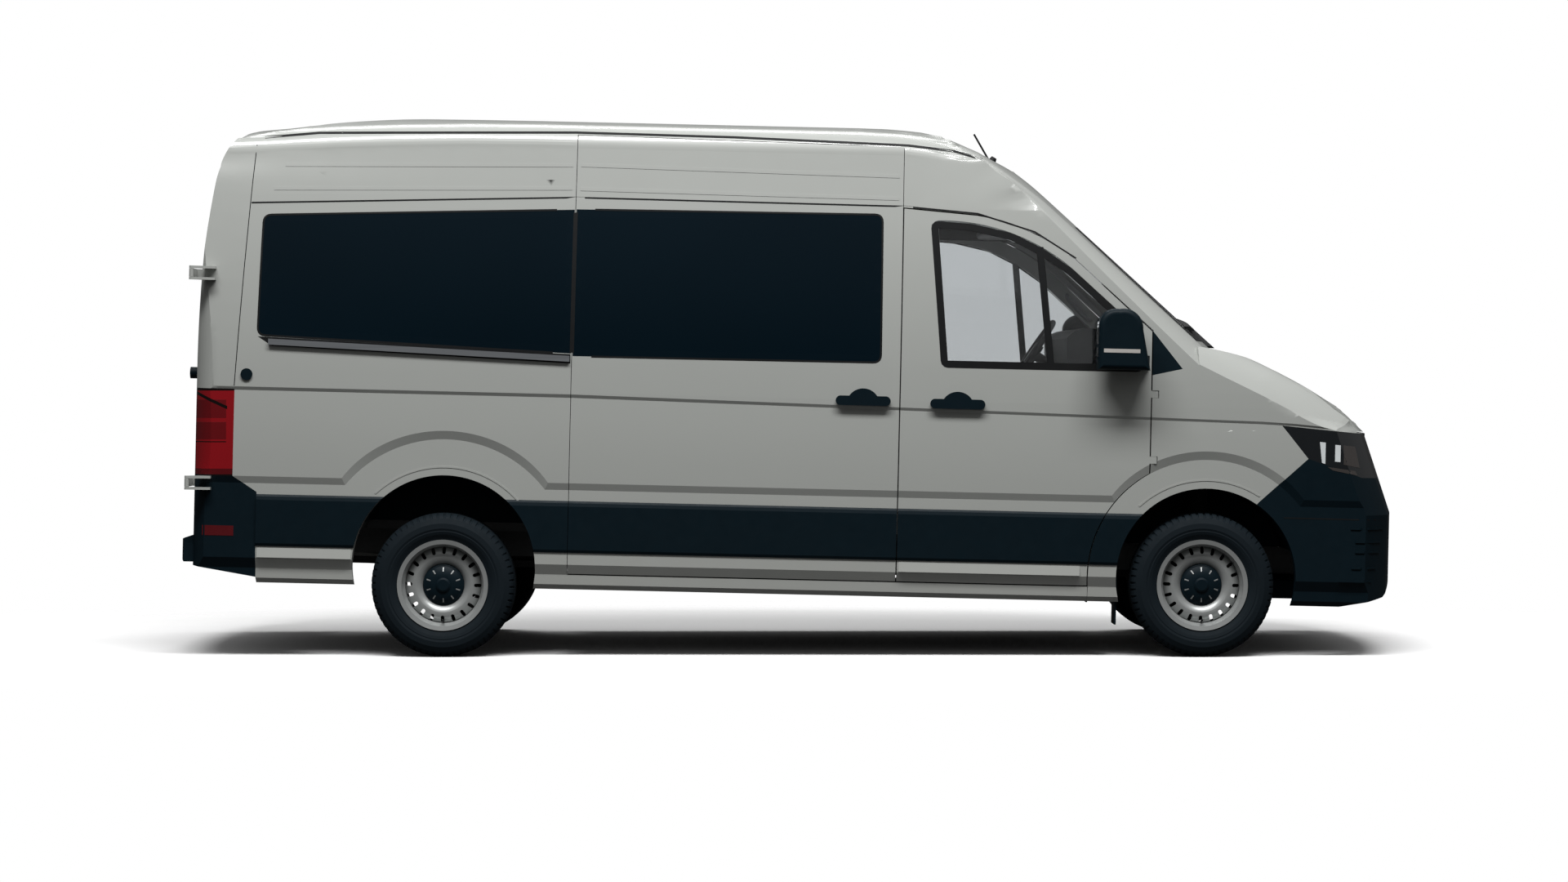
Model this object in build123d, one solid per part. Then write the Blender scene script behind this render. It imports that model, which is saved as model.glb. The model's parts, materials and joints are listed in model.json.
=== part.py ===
"""A glazed panel van with a high roof, as separate pieces that move on their own hinges and hubs.

Millimetres, +X forward, +Y to the van's left, +Z up. The body is drawn in its own level frame,
and the finished pieces are then raked about the hub height, nose down, as the empty van stands.
"""

import os
from math import cos, radians, sin, sqrt

from build123d import *

# Stance and running gear
WHEELBASE = 3640.0
FRONT_AXLE_X = 1993.0
TRACK = 1740.0
TYRE_RADIUS = 345.0
TYRE_WIDTH = 232.0
BODY_RAKE = 1.3
FRAME_SHIFT_X = -5.1
REAR_AXLE_X = FRONT_AXLE_X - WHEELBASE

# Walls and gaps
SIDE_INNER = 944.0
SKIN_INSET = 60.0
GLASS = 6.0
GLASS_LAND = 34.0
DOOR_GAP = 6.0
PANEL_GAP = 3.0
PIN_CLEARANCE = 0.1
CLADDING = 11.0
CLADDING_Z = (478.0, 726.0)

# Far limits that lie outside the van on every side
FAR_X = 3300.0
FAR_Y = 1300.0
FAR_Z = 2900.0
FAR = 6000.0
BODY_FOOT = 250.0
INNER_REACH = 560.0


def level_point(x, z):
    """A point of the standing van, in the body's level frame."""
    turn = radians(BODY_RAKE)
    height = z - TYRE_RADIUS
    return x * cos(turn) - height * sin(turn), TYRE_RADIUS + x * sin(turn) + height * cos(turn)


FRONT_HUB = level_point(FRONT_AXLE_X, TYRE_RADIUS)
REAR_HUB = level_point(REAR_AXLE_X, TYRE_RADIUS)
WHEEL_Y = TRACK / 2


def on_xz(x, z):
    return (x, 0, z)


def on_yz(y, z):
    return (0, y, z)


def on_xy(x, y):
    return (x, y, 0)


def closed_face(place, start, *steps):
    """A flat face: a step of one point is a line to it, a step of two an arc through the first."""
    edges = []
    here = start
    for step in steps:
        if isinstance(step[0], tuple):
            through, there = step
            edges.append(ThreePointArc(place(*here), place(*through), place(*there)))
        else:
            there = step
            edges.append(Line(place(*here), place(*there)))
        here = there
    if here != start:
        edges.append(Line(place(*here), place(*start)))
    return make_face(edges)


def prism_y(low, high, start, *steps):
    """A side-view outline, carried across the van from y low to y high."""
    face = closed_face(on_xz, start, *steps)
    return Pos(0, low, 0) * extrude(face, high - low, dir=(0, 1, 0))


def prism_x(low, high, start, *steps):
    """A cross-section outline, carried along the van from x low to x high."""
    face = closed_face(on_yz, start, *steps)
    return Pos(low, 0, 0) * extrude(face, high - low, dir=(1, 0, 0))


def prism_z(low, high, start, *steps):
    """A plan outline, carried up from z low to z high."""
    face = closed_face(on_xy, start, *steps)
    return Pos(0, 0, low) * extrude(face, high - low, dir=(0, 0, 1))


def block(x0, x1, y0, y1, z0, z1):
    """A plain block between two corners."""
    return Pos((x0 + x1) / 2, (y0 + y1) / 2, (z0 + z1) / 2) * Box(x1 - x0, y1 - y0, z1 - z0)


def rod_y(x, z, radius, y0, y1):
    """A round bar across the van."""
    return Pos(x, (y0 + y1) / 2, z) * Rot(90, 0, 0) * Cylinder(radius, y1 - y0)


def rod_z(x, y, radius, z0, z1):
    """A round upright bar."""
    return Pos(x, y, (z0 + z1) / 2) * Cylinder(radius, z1 - z0)


def mirrored(part):
    return mirror(part, about=Plane.XZ)


def both(part):
    """The piece and its twin on the other side."""
    return part + mirrored(part)


# Load space and cab in side view on the centre plane: rear face, roof and roof front
CAB_START = (-2850, 290)
CAB_STEPS = [
    (-2850, 1300), ((-2826, 1850), (-2764, 2330)), ((-2732, 2450), (-2665, 2520)), ((-1300, 2606), (300, 2602)),
    ((620, 2575), (882, 2495)), ((1110, 2372), (1420, 2160)), (2200, 2160), (2200, 290)]
# Nose in side view: bonnet, lip and chin
NOSE_START = (1950, 290)
NOSE_STEPS = [
    (1950, 1534), ((2480, 1387), (2785, 1213)), (2960, 1012), (3060, 1012), (3060, 520), (2962, 426), (2875, 346),
    (2604, 290)]
# Front faces as lines in side view, upper and lower end: each is bowed in plan about its line
SCREEN_LINE = ((1330, 2193), (2036, 1574))
FASCIA_LINE = ((2859, 1128), (2961, 838))
CHIN_LINE = ((2993, 900), (2993, 300))
BONNET_LINE = ((2173, 1531), (2801, 1250))
# How far each bow falls back at the three half widths below, across its own face
BOW_WIDTHS = (820, 930, 1030)
SCREEN_BOW = (66, 108, 166)
FASCIA_BOW = (96, 160, 242)
CHIN_BOW = (100, 168, 255)
BONNET_BOW = (31, 85, 190)
# Rear corners in plan
REAR_CORNER = ((-2870, 860), (-2818, 980), (-2710, 1030))

# Cross-section of the outer side, from the sill to the roof edge, as y and z
SILL_FOOT = (930, 290)
SILL_EDGE = (978, 325)
SILL_FLANGE = (980, 372)
SILL_BULGE = (1006, 430)
SIDE_WIDEST = (1019, 900)
SHOULDER = (1019, 1243)
UPPER_BOW = (996, 1720)
GUTTER = (938, 2170)
ROOF_SIDE = (893, 2420)
ROOF_EDGE = (868, 2487)
ROOF_SHOULDER = (790, 2538)
ROOF_CROWN = (0, 2592)

# Crease and band pressed into the side, both facing down
CREASE = [(-FAR_X, 1240), (-1050, 1236), (2306, 1180), (FAR_X, 1164)]
CREASE_DEPTH = 8.0
CREASE_HEIGHT = 18.0
BELOW_CREASE = [(1009, 700), (1016, 1000), (1011, 1240)]
BAND_Z = 778.0
BAND_HEIGHT = 44.0
BAND_INNER_Y = 1002.0
BAND_DEPTH = 15.0

# Wheel openings: centre and radius in side view, and the band's radius above them
REAR_ARCH = (-1643, 397)
REAR_ARCH_R = 439.0
REAR_BAND_R = 611.0
FRONT_ARCH = (2005, 425)
FRONT_ARCH_R = 430.0
FRONT_BAND_R = 567.0


def bowed_solid(line, bow, inset):
    """All that lies behind a front face, which runs along its line and is bowed in plan."""
    (x0, z0), (x1, z1) = line
    length = sqrt((x1 - x0) ** 2 + (z1 - z0) ** 2)
    run_x, run_z = (x1 - x0) / length, (z1 - z0) / length
    out_x, out_z = -run_z, run_x

    def place(y, depth):
        back = depth + inset
        return (x0 - run_x * FAR - out_x * back, y, z0 - run_z * FAR - out_z * back)

    (w0, w1, w2), (d0, d1, d2) = BOW_WIDTHS, bow
    edge = d2 + (d2 - d1) * (FAR_Y - w2) / (w2 - w1)
    face = closed_face(
        place, (-FAR_Y, FAR), (-FAR_Y, edge), (-w2, d2), ((-w1, d1), (-w0, d0)), ((0, 0), (w0, d0)),
        ((w1, d1), (w2, d2)), (FAR_Y, edge), (FAR_Y, FAR))
    return extrude(face, 2 * FAR, dir=(run_x, 0, run_z))


def side_prism(inset=0.0):
    """The outer cross-section carried along the van, with each side moved in by inset."""
    def side(point):
        return point[0] - inset, point[1]

    half = prism_x(
        -FAR_X, FAR_X, (0, SILL_FOOT[1]), side(SILL_FOOT), side(SILL_EDGE), side(SILL_FLANGE),
        side(SILL_BULGE), side(SIDE_WIDEST), side(SHOULDER), (side(UPPER_BOW), side(GUTTER)), side(ROOF_SIDE),
        (side(ROOF_EDGE), side(ROOF_SHOULDER)), ((ROOF_SHOULDER[0] / 2, 2578), ROOF_CROWN))
    return both(half)


# Cross-section of the inner wall, as y and z
INNER_WALL = [(SIDE_INNER, 100), (SIDE_INNER, 1250), (878, 2170), (835, 2400)]
INNER_SHOULDER = ((818, 2455), (760, 2490))
INNER_CROWN = ((380, 2527), (0, 2540))


def inner_prism(shift=0.0):
    """The space between the inner walls, made narrower by shift on each side."""
    wall = [(y - shift, z) for y, z in INNER_WALL]
    (edge_y, edge_z), (end_y, end_z) = INNER_SHOULDER
    shoulder = ((edge_y - shift, edge_z), (end_y - shift, end_z))
    return both(prism_x(-FAR_X, FAR_X, (0, wall[0][1]), *wall, shoulder, INNER_CROWN))


def cab_and_nose(inset):
    """The side-view forms of the body, moved in by inset: the cab with its windscreen, and the nose."""
    low = 3 * inset
    cab_face = closed_face(on_xz, CAB_START, *CAB_STEPS)
    nose_face = closed_face(on_xz, NOSE_START, *NOSE_STEPS)
    if inset:
        cab_face = offset(cab_face, -inset)
        nose_face = offset(nose_face, -inset)
    cab = Pos(0, -FAR_Y, 0) * extrude(cab_face, 2 * FAR_Y, dir=(0, 1, 0))
    cab = cab & bowed_solid(SCREEN_LINE, SCREEN_BOW, inset)
    nose = Pos(0, -FAR_Y, 0) * extrude(nose_face, 2 * FAR_Y, dir=(0, 1, 0))
    nose = nose & bowed_solid(FASCIA_LINE, FASCIA_BOW, inset) & bowed_solid(CHIN_LINE, CHIN_BOW, inset)
    nose = nose & bowed_solid(BONNET_LINE, BONNET_BOW, inset)
    if inset:
        cab += Pos(0, 0, -low) * cab
        nose += Pos(0, 0, -low) * nose
    return cab + nose


def rear_corners():
    """Rounds the body's rear corners in plan."""
    start, middle, end = REAR_CORNER
    far = (end[0] + (FAR_Y - end[1]), FAR_Y)
    half = prism_z(0, FAR_Z, (start[0], 0), start, (middle, end), far, (FAR_X, FAR_Y), (FAR_X, 0))
    return both(half)


def crease_tool():
    """What is cut away below the crease, as far in as the panel below it."""
    slope = CREASE_HEIGHT / CREASE_DEPTH
    faces = []
    for y in (SHOULDER[0] - 2 * CREASE_DEPTH, SHOULDER[0] + 2 * CREASE_DEPTH):
        rise = (y - SHOULDER[0]) * slope
        line = [(x, z + rise) for x, z in CREASE]
        faces.append(Pos(0, y, 0) * closed_face(on_xz, (-FAR_X, 0), *line, (FAR_X, 0)))
    low, middle, high = BELOW_CREASE
    keep = prism_x(-FAR_X, FAR_X, (0, low[1]), low, (middle, high), (high[0], high[1] + 90), (0, high[1] + 90))
    return loft(faces, ruled=True) - keep


def band_tool():
    """What is cut away below the band, which climbs over both wheel openings."""
    faces = []
    for y, grow in ((BAND_INNER_Y, 0.0), (BAND_INNER_Y + 2 * BAND_DEPTH, 2 * BAND_HEIGHT)):
        z = BAND_Z + grow
        steps = [(-FAR_X, z)]
        for (cx, cz), radius in ((REAR_ARCH, REAR_BAND_R + grow), (FRONT_ARCH, FRONT_BAND_R + grow)):
            reach = sqrt(radius ** 2 - (z - cz) ** 2)
            steps += [(cx - reach, z), ((cx, cz + radius), (cx + reach, z))]
        steps += [(FAR_X, z), (FAR_X, 0)]
        faces.append(Pos(0, y, 0) * closed_face(on_xz, (-FAR_X, 0), *steps))
    return loft(faces, ruled=True)


def wheel_opening(centre, radius):
    """Both sides' wheel openings, through the side walls."""
    return both(rod_y(*centre, radius, 690, FAR_Y))


BODY = (side_prism() & cab_and_nose(0.0) & rear_corners()) - both(crease_tool()) - both(band_tool())
HOLLOW = inner_prism() & cab_and_nose(SKIN_INSET)
SHELL = BODY - HOLLOW
ARCHES = wheel_opening(REAR_ARCH, REAR_ARCH_R) + wheel_opening(FRONT_ARCH, FRONT_ARCH_R)
WALLS = SHELL - ARCHES
SIDE_SHEET = side_prism() - side_prism(GLASS)

# Shut lines in side view
GUTTER_REAR = (-2610, 2117)
GUTTER_BACK = (-1052, 2176)
GUTTER_MIDDLE = (523, 2169)
GUTTER_FRONT = (879, 2142)
GUTTER_BEND = ((1154, 2059), (1352, 1938))
GUTTER_SLOPE = (1938 - 1606) / (1728 - 1352)
REAR_SEAM_LOW = (-2658, 1235)
REAR_SEAM_TOP = (-2592, 2453)
SLIDING_REAR_X = -1049.0
SLIDING_FRONT_X = 520.0
SLIDING_TOP_REAR = 2484.0
SLIDING_TOP_FRONT = 2461.0
DOOR_REAR_X = SLIDING_FRONT_X + DOOR_GAP
DOOR_FRONT_X = 1722.0
DOOR_BOTTOM = 377.0
DOOR_ARCH = ((1500, 690), (1437, DOOR_BOTTOM))
DOOR_ARCH_TOP = 920.0
SILL_TOP = DOOR_BOTTOM - DOOR_GAP
ROOF_FRONT_X = 1400.0
ROOF_FRONT_Z = 1938 - GUTTER_SLOPE * (ROOF_FRONT_X - 1352)
WING_REAR_X = DOOR_FRONT_X + DOOR_GAP
WING_TOP_Z = 1488.0
COWL_FRONT_X = 2070.0
SAIL = [(WING_REAR_X, 1391), (1871, 1424), (WING_REAR_X, 1600)]
SAIL_WING = (1871 - (WING_TOP_Z - 1424) * (1871 - WING_REAR_X) / (1600 - 1424), WING_TOP_Z)
LAMP_REAR = (2353, 1164)
LAMP_LOW = (2481, 1008)
LAMP_FRONT = (2748, 921)
LAMP_TOP_FRONT = (2900, 1120)
BUMPER_TIP = (2256, 800)
FASCIA_Z = 905.0
LAMP_INNER_Y = 525.0
BONNET_RISE = 10.0
BONNET_REAR_X = 2110.0
BONNET_CORNER = (2620, 850)
BONNET_REAR_Y = 712.0
BONNET_HEEL_X = 2210.0
BONNET_Z = (900.0, 1700.0)
BONNET_REACH = 400.0
HEEL_Z = 1300.0
BONNET_PIN = (2128, 1455)
BONNET_PIN_R = 6.0

# Rear portal
REAR_APERTURE_Y = 936.0
REAR_APERTURE_LOW = 566.0
REAR_APERTURE = [(REAR_APERTURE_Y, 1243), (858, 2170), (838, 2406)]
REAR_SILL_Z = 500.0
REAR_SILL_TOP = 560.0
BUMPER_TOP = 736.0
BUMPER_FRONT_X = -2543.0
BUMPER_FOOT = (328.0, 447.0)
TAIL_LAMP_Z = (810.0, 1227.0)
TAIL_LAMP_CORE = (-2762.0, 958.0)
REAR_HINGE = (-2868.0, 1066.0)
REAR_HINGE_Z = (775.0, 1777.0)
REAR_PIN_R = 5.0
REAR_KNUCKLE_R = 11.0

# Windscreen, front view of the glass edge and of the clear opening
SCREEN_TOP_Z = 2105.0
SCREEN_LOW_Z = 1560.0
SCREEN_TOP_Y = 690.0
SCREEN_LOW_Y = 800.0
SCREEN_LAND = 42.0

# Side glass in side view, corners rounded by the given radius
GLASS_CORNER = 38.0
QUARTER_GLASS = [(-2544, 2064), (-1055, 2122), (-1055, 1431), (-2554, 1487)]
SLIDING_GLASS = [(-1046, 2124), (423, 2132), (428, 1422), (-1046, 1419)]
LEFT_MIDDLE_GLASS = [(-1040, 2124), (423, 2132), (428, 1422), (-1040, 1419)]
DOOR_GLASS_START = (655, 2108)
DOOR_GLASS_STEPS = [((1040, 2058), (1330, 1898)), (1686, 1584), (1686, 1405), (716, 1405)]


def glass_pair(face, sheet):
    """The pane that lies flush in the skin and the smaller hole that lies behind it."""
    round_corners = [v for v in face.vertices() if abs(v.X - SLIDING_REAR_X) > GLASS_CORNER]
    face = fillet(round_corners, GLASS_CORNER)
    pane = extrude(face, FAR_Y, dir=(0, -1, 0)) & sheet & BODY
    hole = extrude(offset(face, -GLASS_LAND), FAR_Y, dir=(0, -1, 0))
    return pane, hole


def right_pane(start, *steps):
    return glass_pair(closed_face(on_xz, start, *steps), SIDE_SHEET)


QUARTER_PANE, QUARTER_HOLE = right_pane(*QUARTER_GLASS)
SLIDING_PANE, SLIDING_HOLE = right_pane(*SLIDING_GLASS)
MIDDLE_PANE, MIDDLE_HOLE = right_pane(*LEFT_MIDDLE_GLASS)
DOOR_PANE, DOOR_HOLE = right_pane(DOOR_GLASS_START, *DOOR_GLASS_STEPS)


def right_wall(start, *steps):
    """The stretch of the right-hand wall inside a side-view outline."""
    return WALLS & prism_y(-FAR_Y, -INNER_REACH, start, *steps)


def screen_outline(inset):
    """The windscreen seen from the front, made smaller by inset."""
    return prism_x(
        1000, 2300, (SCREEN_LOW_Y - inset, SCREEN_LOW_Z + inset), (SCREEN_TOP_Y - inset, SCREEN_TOP_Z - inset),
        (-SCREEN_TOP_Y + inset, SCREEN_TOP_Z - inset), (-SCREEN_LOW_Y + inset, SCREEN_LOW_Z + inset))


SCREEN_ROOM = block(1100, 2300, -FAR_Y, FAR_Y, 1500, 2200)
SCREEN = (BODY & screen_outline(0.0) & SCREEN_ROOM) - Pos(-GLASS, 0, -GLASS) * BODY
SCREEN_HOLE = screen_outline(SCREEN_LAND)


def quarter_panel_right():
    """The fixed side behind the sliding door, with its window and wheel opening."""
    wall = right_wall(
        (REAR_SEAM_LOW[0], BODY_FOOT), REAR_SEAM_LOW, GUTTER_REAR, GUTTER_BACK,
        (SLIDING_REAR_X - PANEL_GAP, BODY_FOOT))
    return wall - QUARTER_PANE - QUARTER_HOLE - rear_bumper_corner()


def side_panel_left():
    """The other side, fixed from the rear post to the front door."""
    wall = right_wall(
        (REAR_SEAM_LOW[0], BODY_FOOT), REAR_SEAM_LOW, GUTTER_REAR, GUTTER_BACK,
        (SLIDING_FRONT_X, GUTTER_MIDDLE[1]),
        (SLIDING_FRONT_X, BODY_FOOT))
    wall = wall - QUARTER_PANE - QUARTER_HOLE - MIDDLE_PANE - MIDDLE_HOLE
    return mirrored(wall - rear_bumper_corner())


def sliding_door_outline(grow):
    return [
        (SLIDING_REAR_X - grow, DOOR_BOTTOM - grow), (SLIDING_REAR_X - grow, SLIDING_TOP_REAR + grow),
        (SLIDING_FRONT_X + grow, SLIDING_TOP_FRONT + grow), (SLIDING_FRONT_X + grow, DOOR_BOTTOM - grow)]


def sliding_door():
    """The tall side door, closed, with its window cut."""
    return right_wall(*sliding_door_outline(0.0)) - SLIDING_PANE - SLIDING_HOLE


def roof():
    """The roof down to the gutter on both sides, open where the sliding door runs up into it."""
    above = prism_y(
        -FAR_Y, FAR_Y, (-FAR_X, GUTTER_REAR[1] - 10), GUTTER_REAR, GUTTER_BACK, GUTTER_MIDDLE, GUTTER_FRONT,
        GUTTER_BEND, (ROOF_FRONT_X, ROOF_FRONT_Z), (ROOF_FRONT_X, FAR_Z), (-FAR_X, FAR_Z))
    post = rear_post_region()
    bay = prism_y(-FAR_Y, -INNER_REACH, *sliding_door_outline(PANEL_GAP))
    return (SHELL & above) - post - bay - SCREEN - SCREEN_HOLE


def rear_post_region():
    return prism_y(
        -FAR_Y, FAR_Y, (-FAR_X, REAR_SILL_Z), (REAR_SEAM_LOW[0], REAR_SILL_Z), REAR_SEAM_LOW, REAR_SEAM_TOP,
        (-FAR_X, REAR_SEAM_TOP[1]))


def tail_lamp_region():
    core_x, core_y = TAIL_LAMP_CORE
    low, high = TAIL_LAMP_Z
    corner = block(-FAR_X, REAR_SEAM_LOW[0], REAR_APERTURE_Y + PANEL_GAP, FAR_Y, low, high)
    return both(corner - block(core_x, 0, 0, core_y, low, high))


def rear_bumper_corner():
    """Both corners of the rear bumper, up to the foot of the lamps."""
    lamp_foot = TAIL_LAMP_Z[0]
    corner = prism_y(
        REAR_APERTURE_Y, FAR_Y, (-FAR_X, BODY_FOOT), (BUMPER_FRONT_X, BODY_FOOT), (BUMPER_FRONT_X, BUMPER_TOP),
        (REAR_SEAM_LOW[0], lamp_foot), (-FAR_X, lamp_foot))
    return both(corner)


LEAF_T = 12.0
LEAF_Z = (-33.0, 21.0)
LEAF_ROOT = [(-2760, 1040), (-2760, 960), (-2800, 960)]
STRAP_HALF = 20.0
STRAP_X = (-8.0, 4.0)
STRAP_Y = 840.0
STRAP_FOOT_X = -2810.0
STRAP_FOOT_Y = (850.0, 915.0)


def rear_hinge_bracket():
    """The body-side hinge leaves with their pins, on the left."""
    x, y = REAR_HINGE
    r = REAR_KNUCKLE_R
    leaves = Part()
    for z in REAR_HINGE_Z:
        for low in (z + LEAF_Z[0], z + LEAF_Z[1]):
            leaves += prism_z(low, low + LEAF_T, (x, y - r), ((x - r, y), (x, y + r)), *LEAF_ROOT)
        leaves += rod_z(x, y, REAR_PIN_R, z + LEAF_Z[0] + 3, z - LEAF_Z[0] - 3)
    return leaves - BODY


def rear_opening(gap, middle):
    """The left half of the rear opening, made smaller by gap all round and by middle at the centre."""
    edge = [(y - gap, z) for y, z in REAR_APERTURE]
    top = edge[-1][1] - gap
    outline = [(edge[0][0], REAR_APERTURE_LOW + gap), *edge[:-1], (edge[-1][0], top), (middle, top)]
    return prism_x(-FAR_X, -2640, (middle, REAR_APERTURE_LOW + gap), *outline)


def rear_frame():
    """The rear corner posts and header round the rear doors, with the body's hinge leaves."""
    sill = block(-FAR_X, 0, -REAR_APERTURE_Y, REAR_APERTURE_Y, 0, REAR_APERTURE_LOW)
    frame = (SHELL & rear_post_region()) - both(rear_opening(0.0, 0.0)) - sill
    frame = frame - tail_lamp_region() - rear_bumper_corner()
    return frame + both(rear_hinge_bracket())


def tail_lamps():
    return SHELL & tail_lamp_region()


def windscreen_frame():
    """The A-pillars and the cowl, one ring with the roof's front edge round the windscreen."""
    region = prism_y(
        -FAR_Y, FAR_Y, (ROOF_FRONT_X, ROOF_FRONT_Z), (WING_REAR_X, 1606), SAIL[2], SAIL_WING,
        (COWL_FRONT_X, WING_TOP_Z - 60), (COWL_FRONT_X, FAR_Z), (ROOF_FRONT_X, FAR_Z))
    return (SHELL & region) - SCREEN - SCREEN_HOLE - wing_blank()


def wing_blank():
    """The left and right front wing outlines before the bonnet and the hinges are cut out."""
    outline = prism_y(
        -FAR_Y, -700, (1440, BODY_FOOT), (1437 + DOOR_GAP, DOOR_BOTTOM),
        ((1500 + DOOR_GAP, 690), (WING_REAR_X, DOOR_ARCH_TOP)), SAIL[0], SAIL[1], SAIL_WING,
        (2000, WING_TOP_Z), (COWL_FRONT_X, WING_TOP_Z), (COWL_FRONT_X, FAR_Z), (2900, FAR_Z),
        LAMP_TOP_FRONT, LAMP_REAR, LAMP_LOW, BUMPER_TIP, (2200, 742), FRONT_ARCH, (1900, BODY_FOOT))
    return both(outline)


def bonnet_space(grow):
    """The bonnet's outline in plan and above the lamps, made larger by grow."""
    rear = BONNET_REAR_X - grow
    corner_x, corner_y = BONNET_CORNER
    plan = prism_z(
        *BONNET_Z, (rear, -BONNET_REAR_Y - grow), (BONNET_HEEL_X, -BONNET_REAR_Y - grow),
        (corner_x, -corner_y - grow), (FAR_X, -corner_y - grow), (FAR_X, corner_y + grow),
        (corner_x, corner_y + grow), (BONNET_HEEL_X, BONNET_REAR_Y + grow), (rear, BONNET_REAR_Y + grow))
    rise = BONNET_RISE - grow
    above = prism_y(
        -FAR_Y, FAR_Y, (LAMP_REAR[0] - BONNET_REACH, LAMP_REAR[1] + rise), (LAMP_REAR[0], LAMP_REAR[1] + rise),
        (LAMP_TOP_FRONT[0], LAMP_TOP_FRONT[1] + rise), (FAR_X, LAMP_TOP_FRONT[1] + rise), (FAR_X, BONNET_Z[1]),
        (LAMP_REAR[0] - BONNET_REACH, BONNET_Z[1]))
    return plan & above


def bonnet_pins():
    x, z = BONNET_PIN
    return both(rod_y(x, z, BONNET_PIN_R, BONNET_REAR_Y - 20, BONNET_REAR_Y + 40))


def front_wings():
    """Both wings from the door to the lamps, with hinge pockets for the doors."""
    heel_y = BONNET_REAR_Y + DOOR_GAP
    heel = block(COWL_FRONT_X, BONNET_REAR_X, -heel_y, heel_y, HEEL_Z, BONNET_Z[1])
    wings = (WALLS & wing_blank()) - bonnet_space(DOOR_GAP) - heel
    wings = wings - both(door_hinge_pockets()) + both(door_hinge_pins())
    return wings + bonnet_pins()


def bonnet():
    """The bonnet, turning on pins at its rear corners."""
    x, z = BONNET_PIN
    holes = both(rod_y(x, z, BONNET_PIN_R + PIN_CLEARANCE, BONNET_REAR_Y - 22, FAR_Y))
    return (SHELL & bonnet_space(0.0)) - holes


# Front door hinges, on the left: axis, heights and sizes
DOOR_HINGE = (1752.0, 1010.0)
DOOR_HINGE_Z = (985.0, 1300.0)
DOOR_LUG_HEIGHT = 34.0
DOOR_KNUCKLE_R = 6.0
DOOR_PIN_R = 3.2


def door_hinge_pockets():
    x, y = DOOR_HINGE
    pockets = Part()
    room = DOOR_KNUCKLE_R + 2
    for z in DOOR_HINGE_Z:
        half = DOOR_LUG_HEIGHT / 2 + 1
        pockets += block(WING_REAR_X - 20, x + room, y - room, FAR_Y, z - half, z + half)
    return pockets


def door_hinge_pins():
    x, y = DOOR_HINGE
    pins = Part()
    for z in DOOR_HINGE_Z:
        half = DOOR_LUG_HEIGHT / 2 + 4
        pins += rod_z(x, y, DOOR_PIN_R, z - half, z + half)
    return pins


def door_lugs():
    """The door's knuckles, which reach round the pins, on the left."""
    x, y = DOOR_HINGE
    lugs = Part()
    for z in DOOR_HINGE_Z:
        low, high = z - DOOR_LUG_HEIGHT / 2, z + DOOR_LUG_HEIGHT / 2
        lug = block(DOOR_FRONT_X - 8, x, y - DOOR_KNUCKLE_R, y + DOOR_KNUCKLE_R, low, high)
        lug += rod_z(x, y, DOOR_KNUCKLE_R, low, high)
        lugs += lug - rod_z(x, y, DOOR_PIN_R + PIN_CLEARANCE, low, high)
    return lugs


def front_door():
    """The left front door with its window cut and its hinge knuckles."""
    gap = DOOR_GAP
    steps = [
        (DOOR_REAR_X, GUTTER_MIDDLE[1] - gap), (GUTTER_FRONT[0], GUTTER_FRONT[1] - gap),
        ((1154, 2059 - gap), (1352, 1938 - gap)), (DOOR_FRONT_X, 1606 - gap), (DOOR_FRONT_X, DOOR_ARCH_TOP),
        DOOR_ARCH]
    wall = right_wall((DOOR_REAR_X, DOOR_BOTTOM), *steps) - DOOR_PANE - DOOR_HOLE
    return mirrored(wall) + door_lugs()


B_PILLAR_X = (470.0, 580.0)
B_PILLAR_DEPTH = 70.0
B_PILLAR_HEAD = (2185.0, 2290.0)


def door_frames():
    """The sill flanges under the doors and the posts behind the front doors' rear edges."""
    rear = SLIDING_REAR_X - PANEL_GAP
    right = right_wall((rear, BODY_FOOT), (rear, SILL_TOP), (1440, SILL_TOP), (1440, BODY_FOOT))
    left = right_wall(
        (SLIDING_FRONT_X, BODY_FOOT), (SLIDING_FRONT_X, SILL_TOP), (1440, SILL_TOP), (1440, BODY_FOOT))
    shaft = block(*B_PILLAR_X, 0, FAR_Y, FLOOR_Z, B_PILLAR_HEAD[0]) & inner_prism(DOOR_GAP)
    head = block(*B_PILLAR_X, 0, FAR_Y, *B_PILLAR_HEAD) & inner_prism()
    post = (shaft + head) - inner_prism(B_PILLAR_DEPTH)
    return right + mirrored(left) + both(post)


def headlamps():
    region = prism_y(
        -FAR_Y, -LAMP_INNER_Y, LAMP_REAR, LAMP_LOW, LAMP_FRONT, (FAR_X, FASCIA_Z),
        (FAR_X, LAMP_TOP_FRONT[1]), LAMP_TOP_FRONT)
    return both(SHELL & region)


GRILLE_SLOTS = 4
GRILLE_LOW = 942.0
GRILLE_EDGE = 40.0
GRILLE_SLOT_HEIGHT = 26.0
GRILLE_PITCH = 44.0
GRILLE_DEPTH = 34.0


def grille():
    """The slatted grille between the headlamps."""
    width = LAMP_INNER_Y
    region = prism_y(
        -width, width, LAMP_FRONT, (FAR_X, FASCIA_Z), (FAR_X, LAMP_TOP_FRONT[1]), LAMP_TOP_FRONT, LAMP_REAR)
    panel = SHELL & region
    half = GRILLE_SLOT_HEIGHT / 2
    slots = Part()
    for row in range(GRILLE_SLOTS):
        z = GRILLE_LOW + row * GRILLE_PITCH
        slots += block(0, FAR_X, GRILLE_EDGE - width, width - GRILLE_EDGE, z - half, z + half)
    return panel - (slots - Pos(-GRILLE_DEPTH, 0, 0) * BODY)


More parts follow.
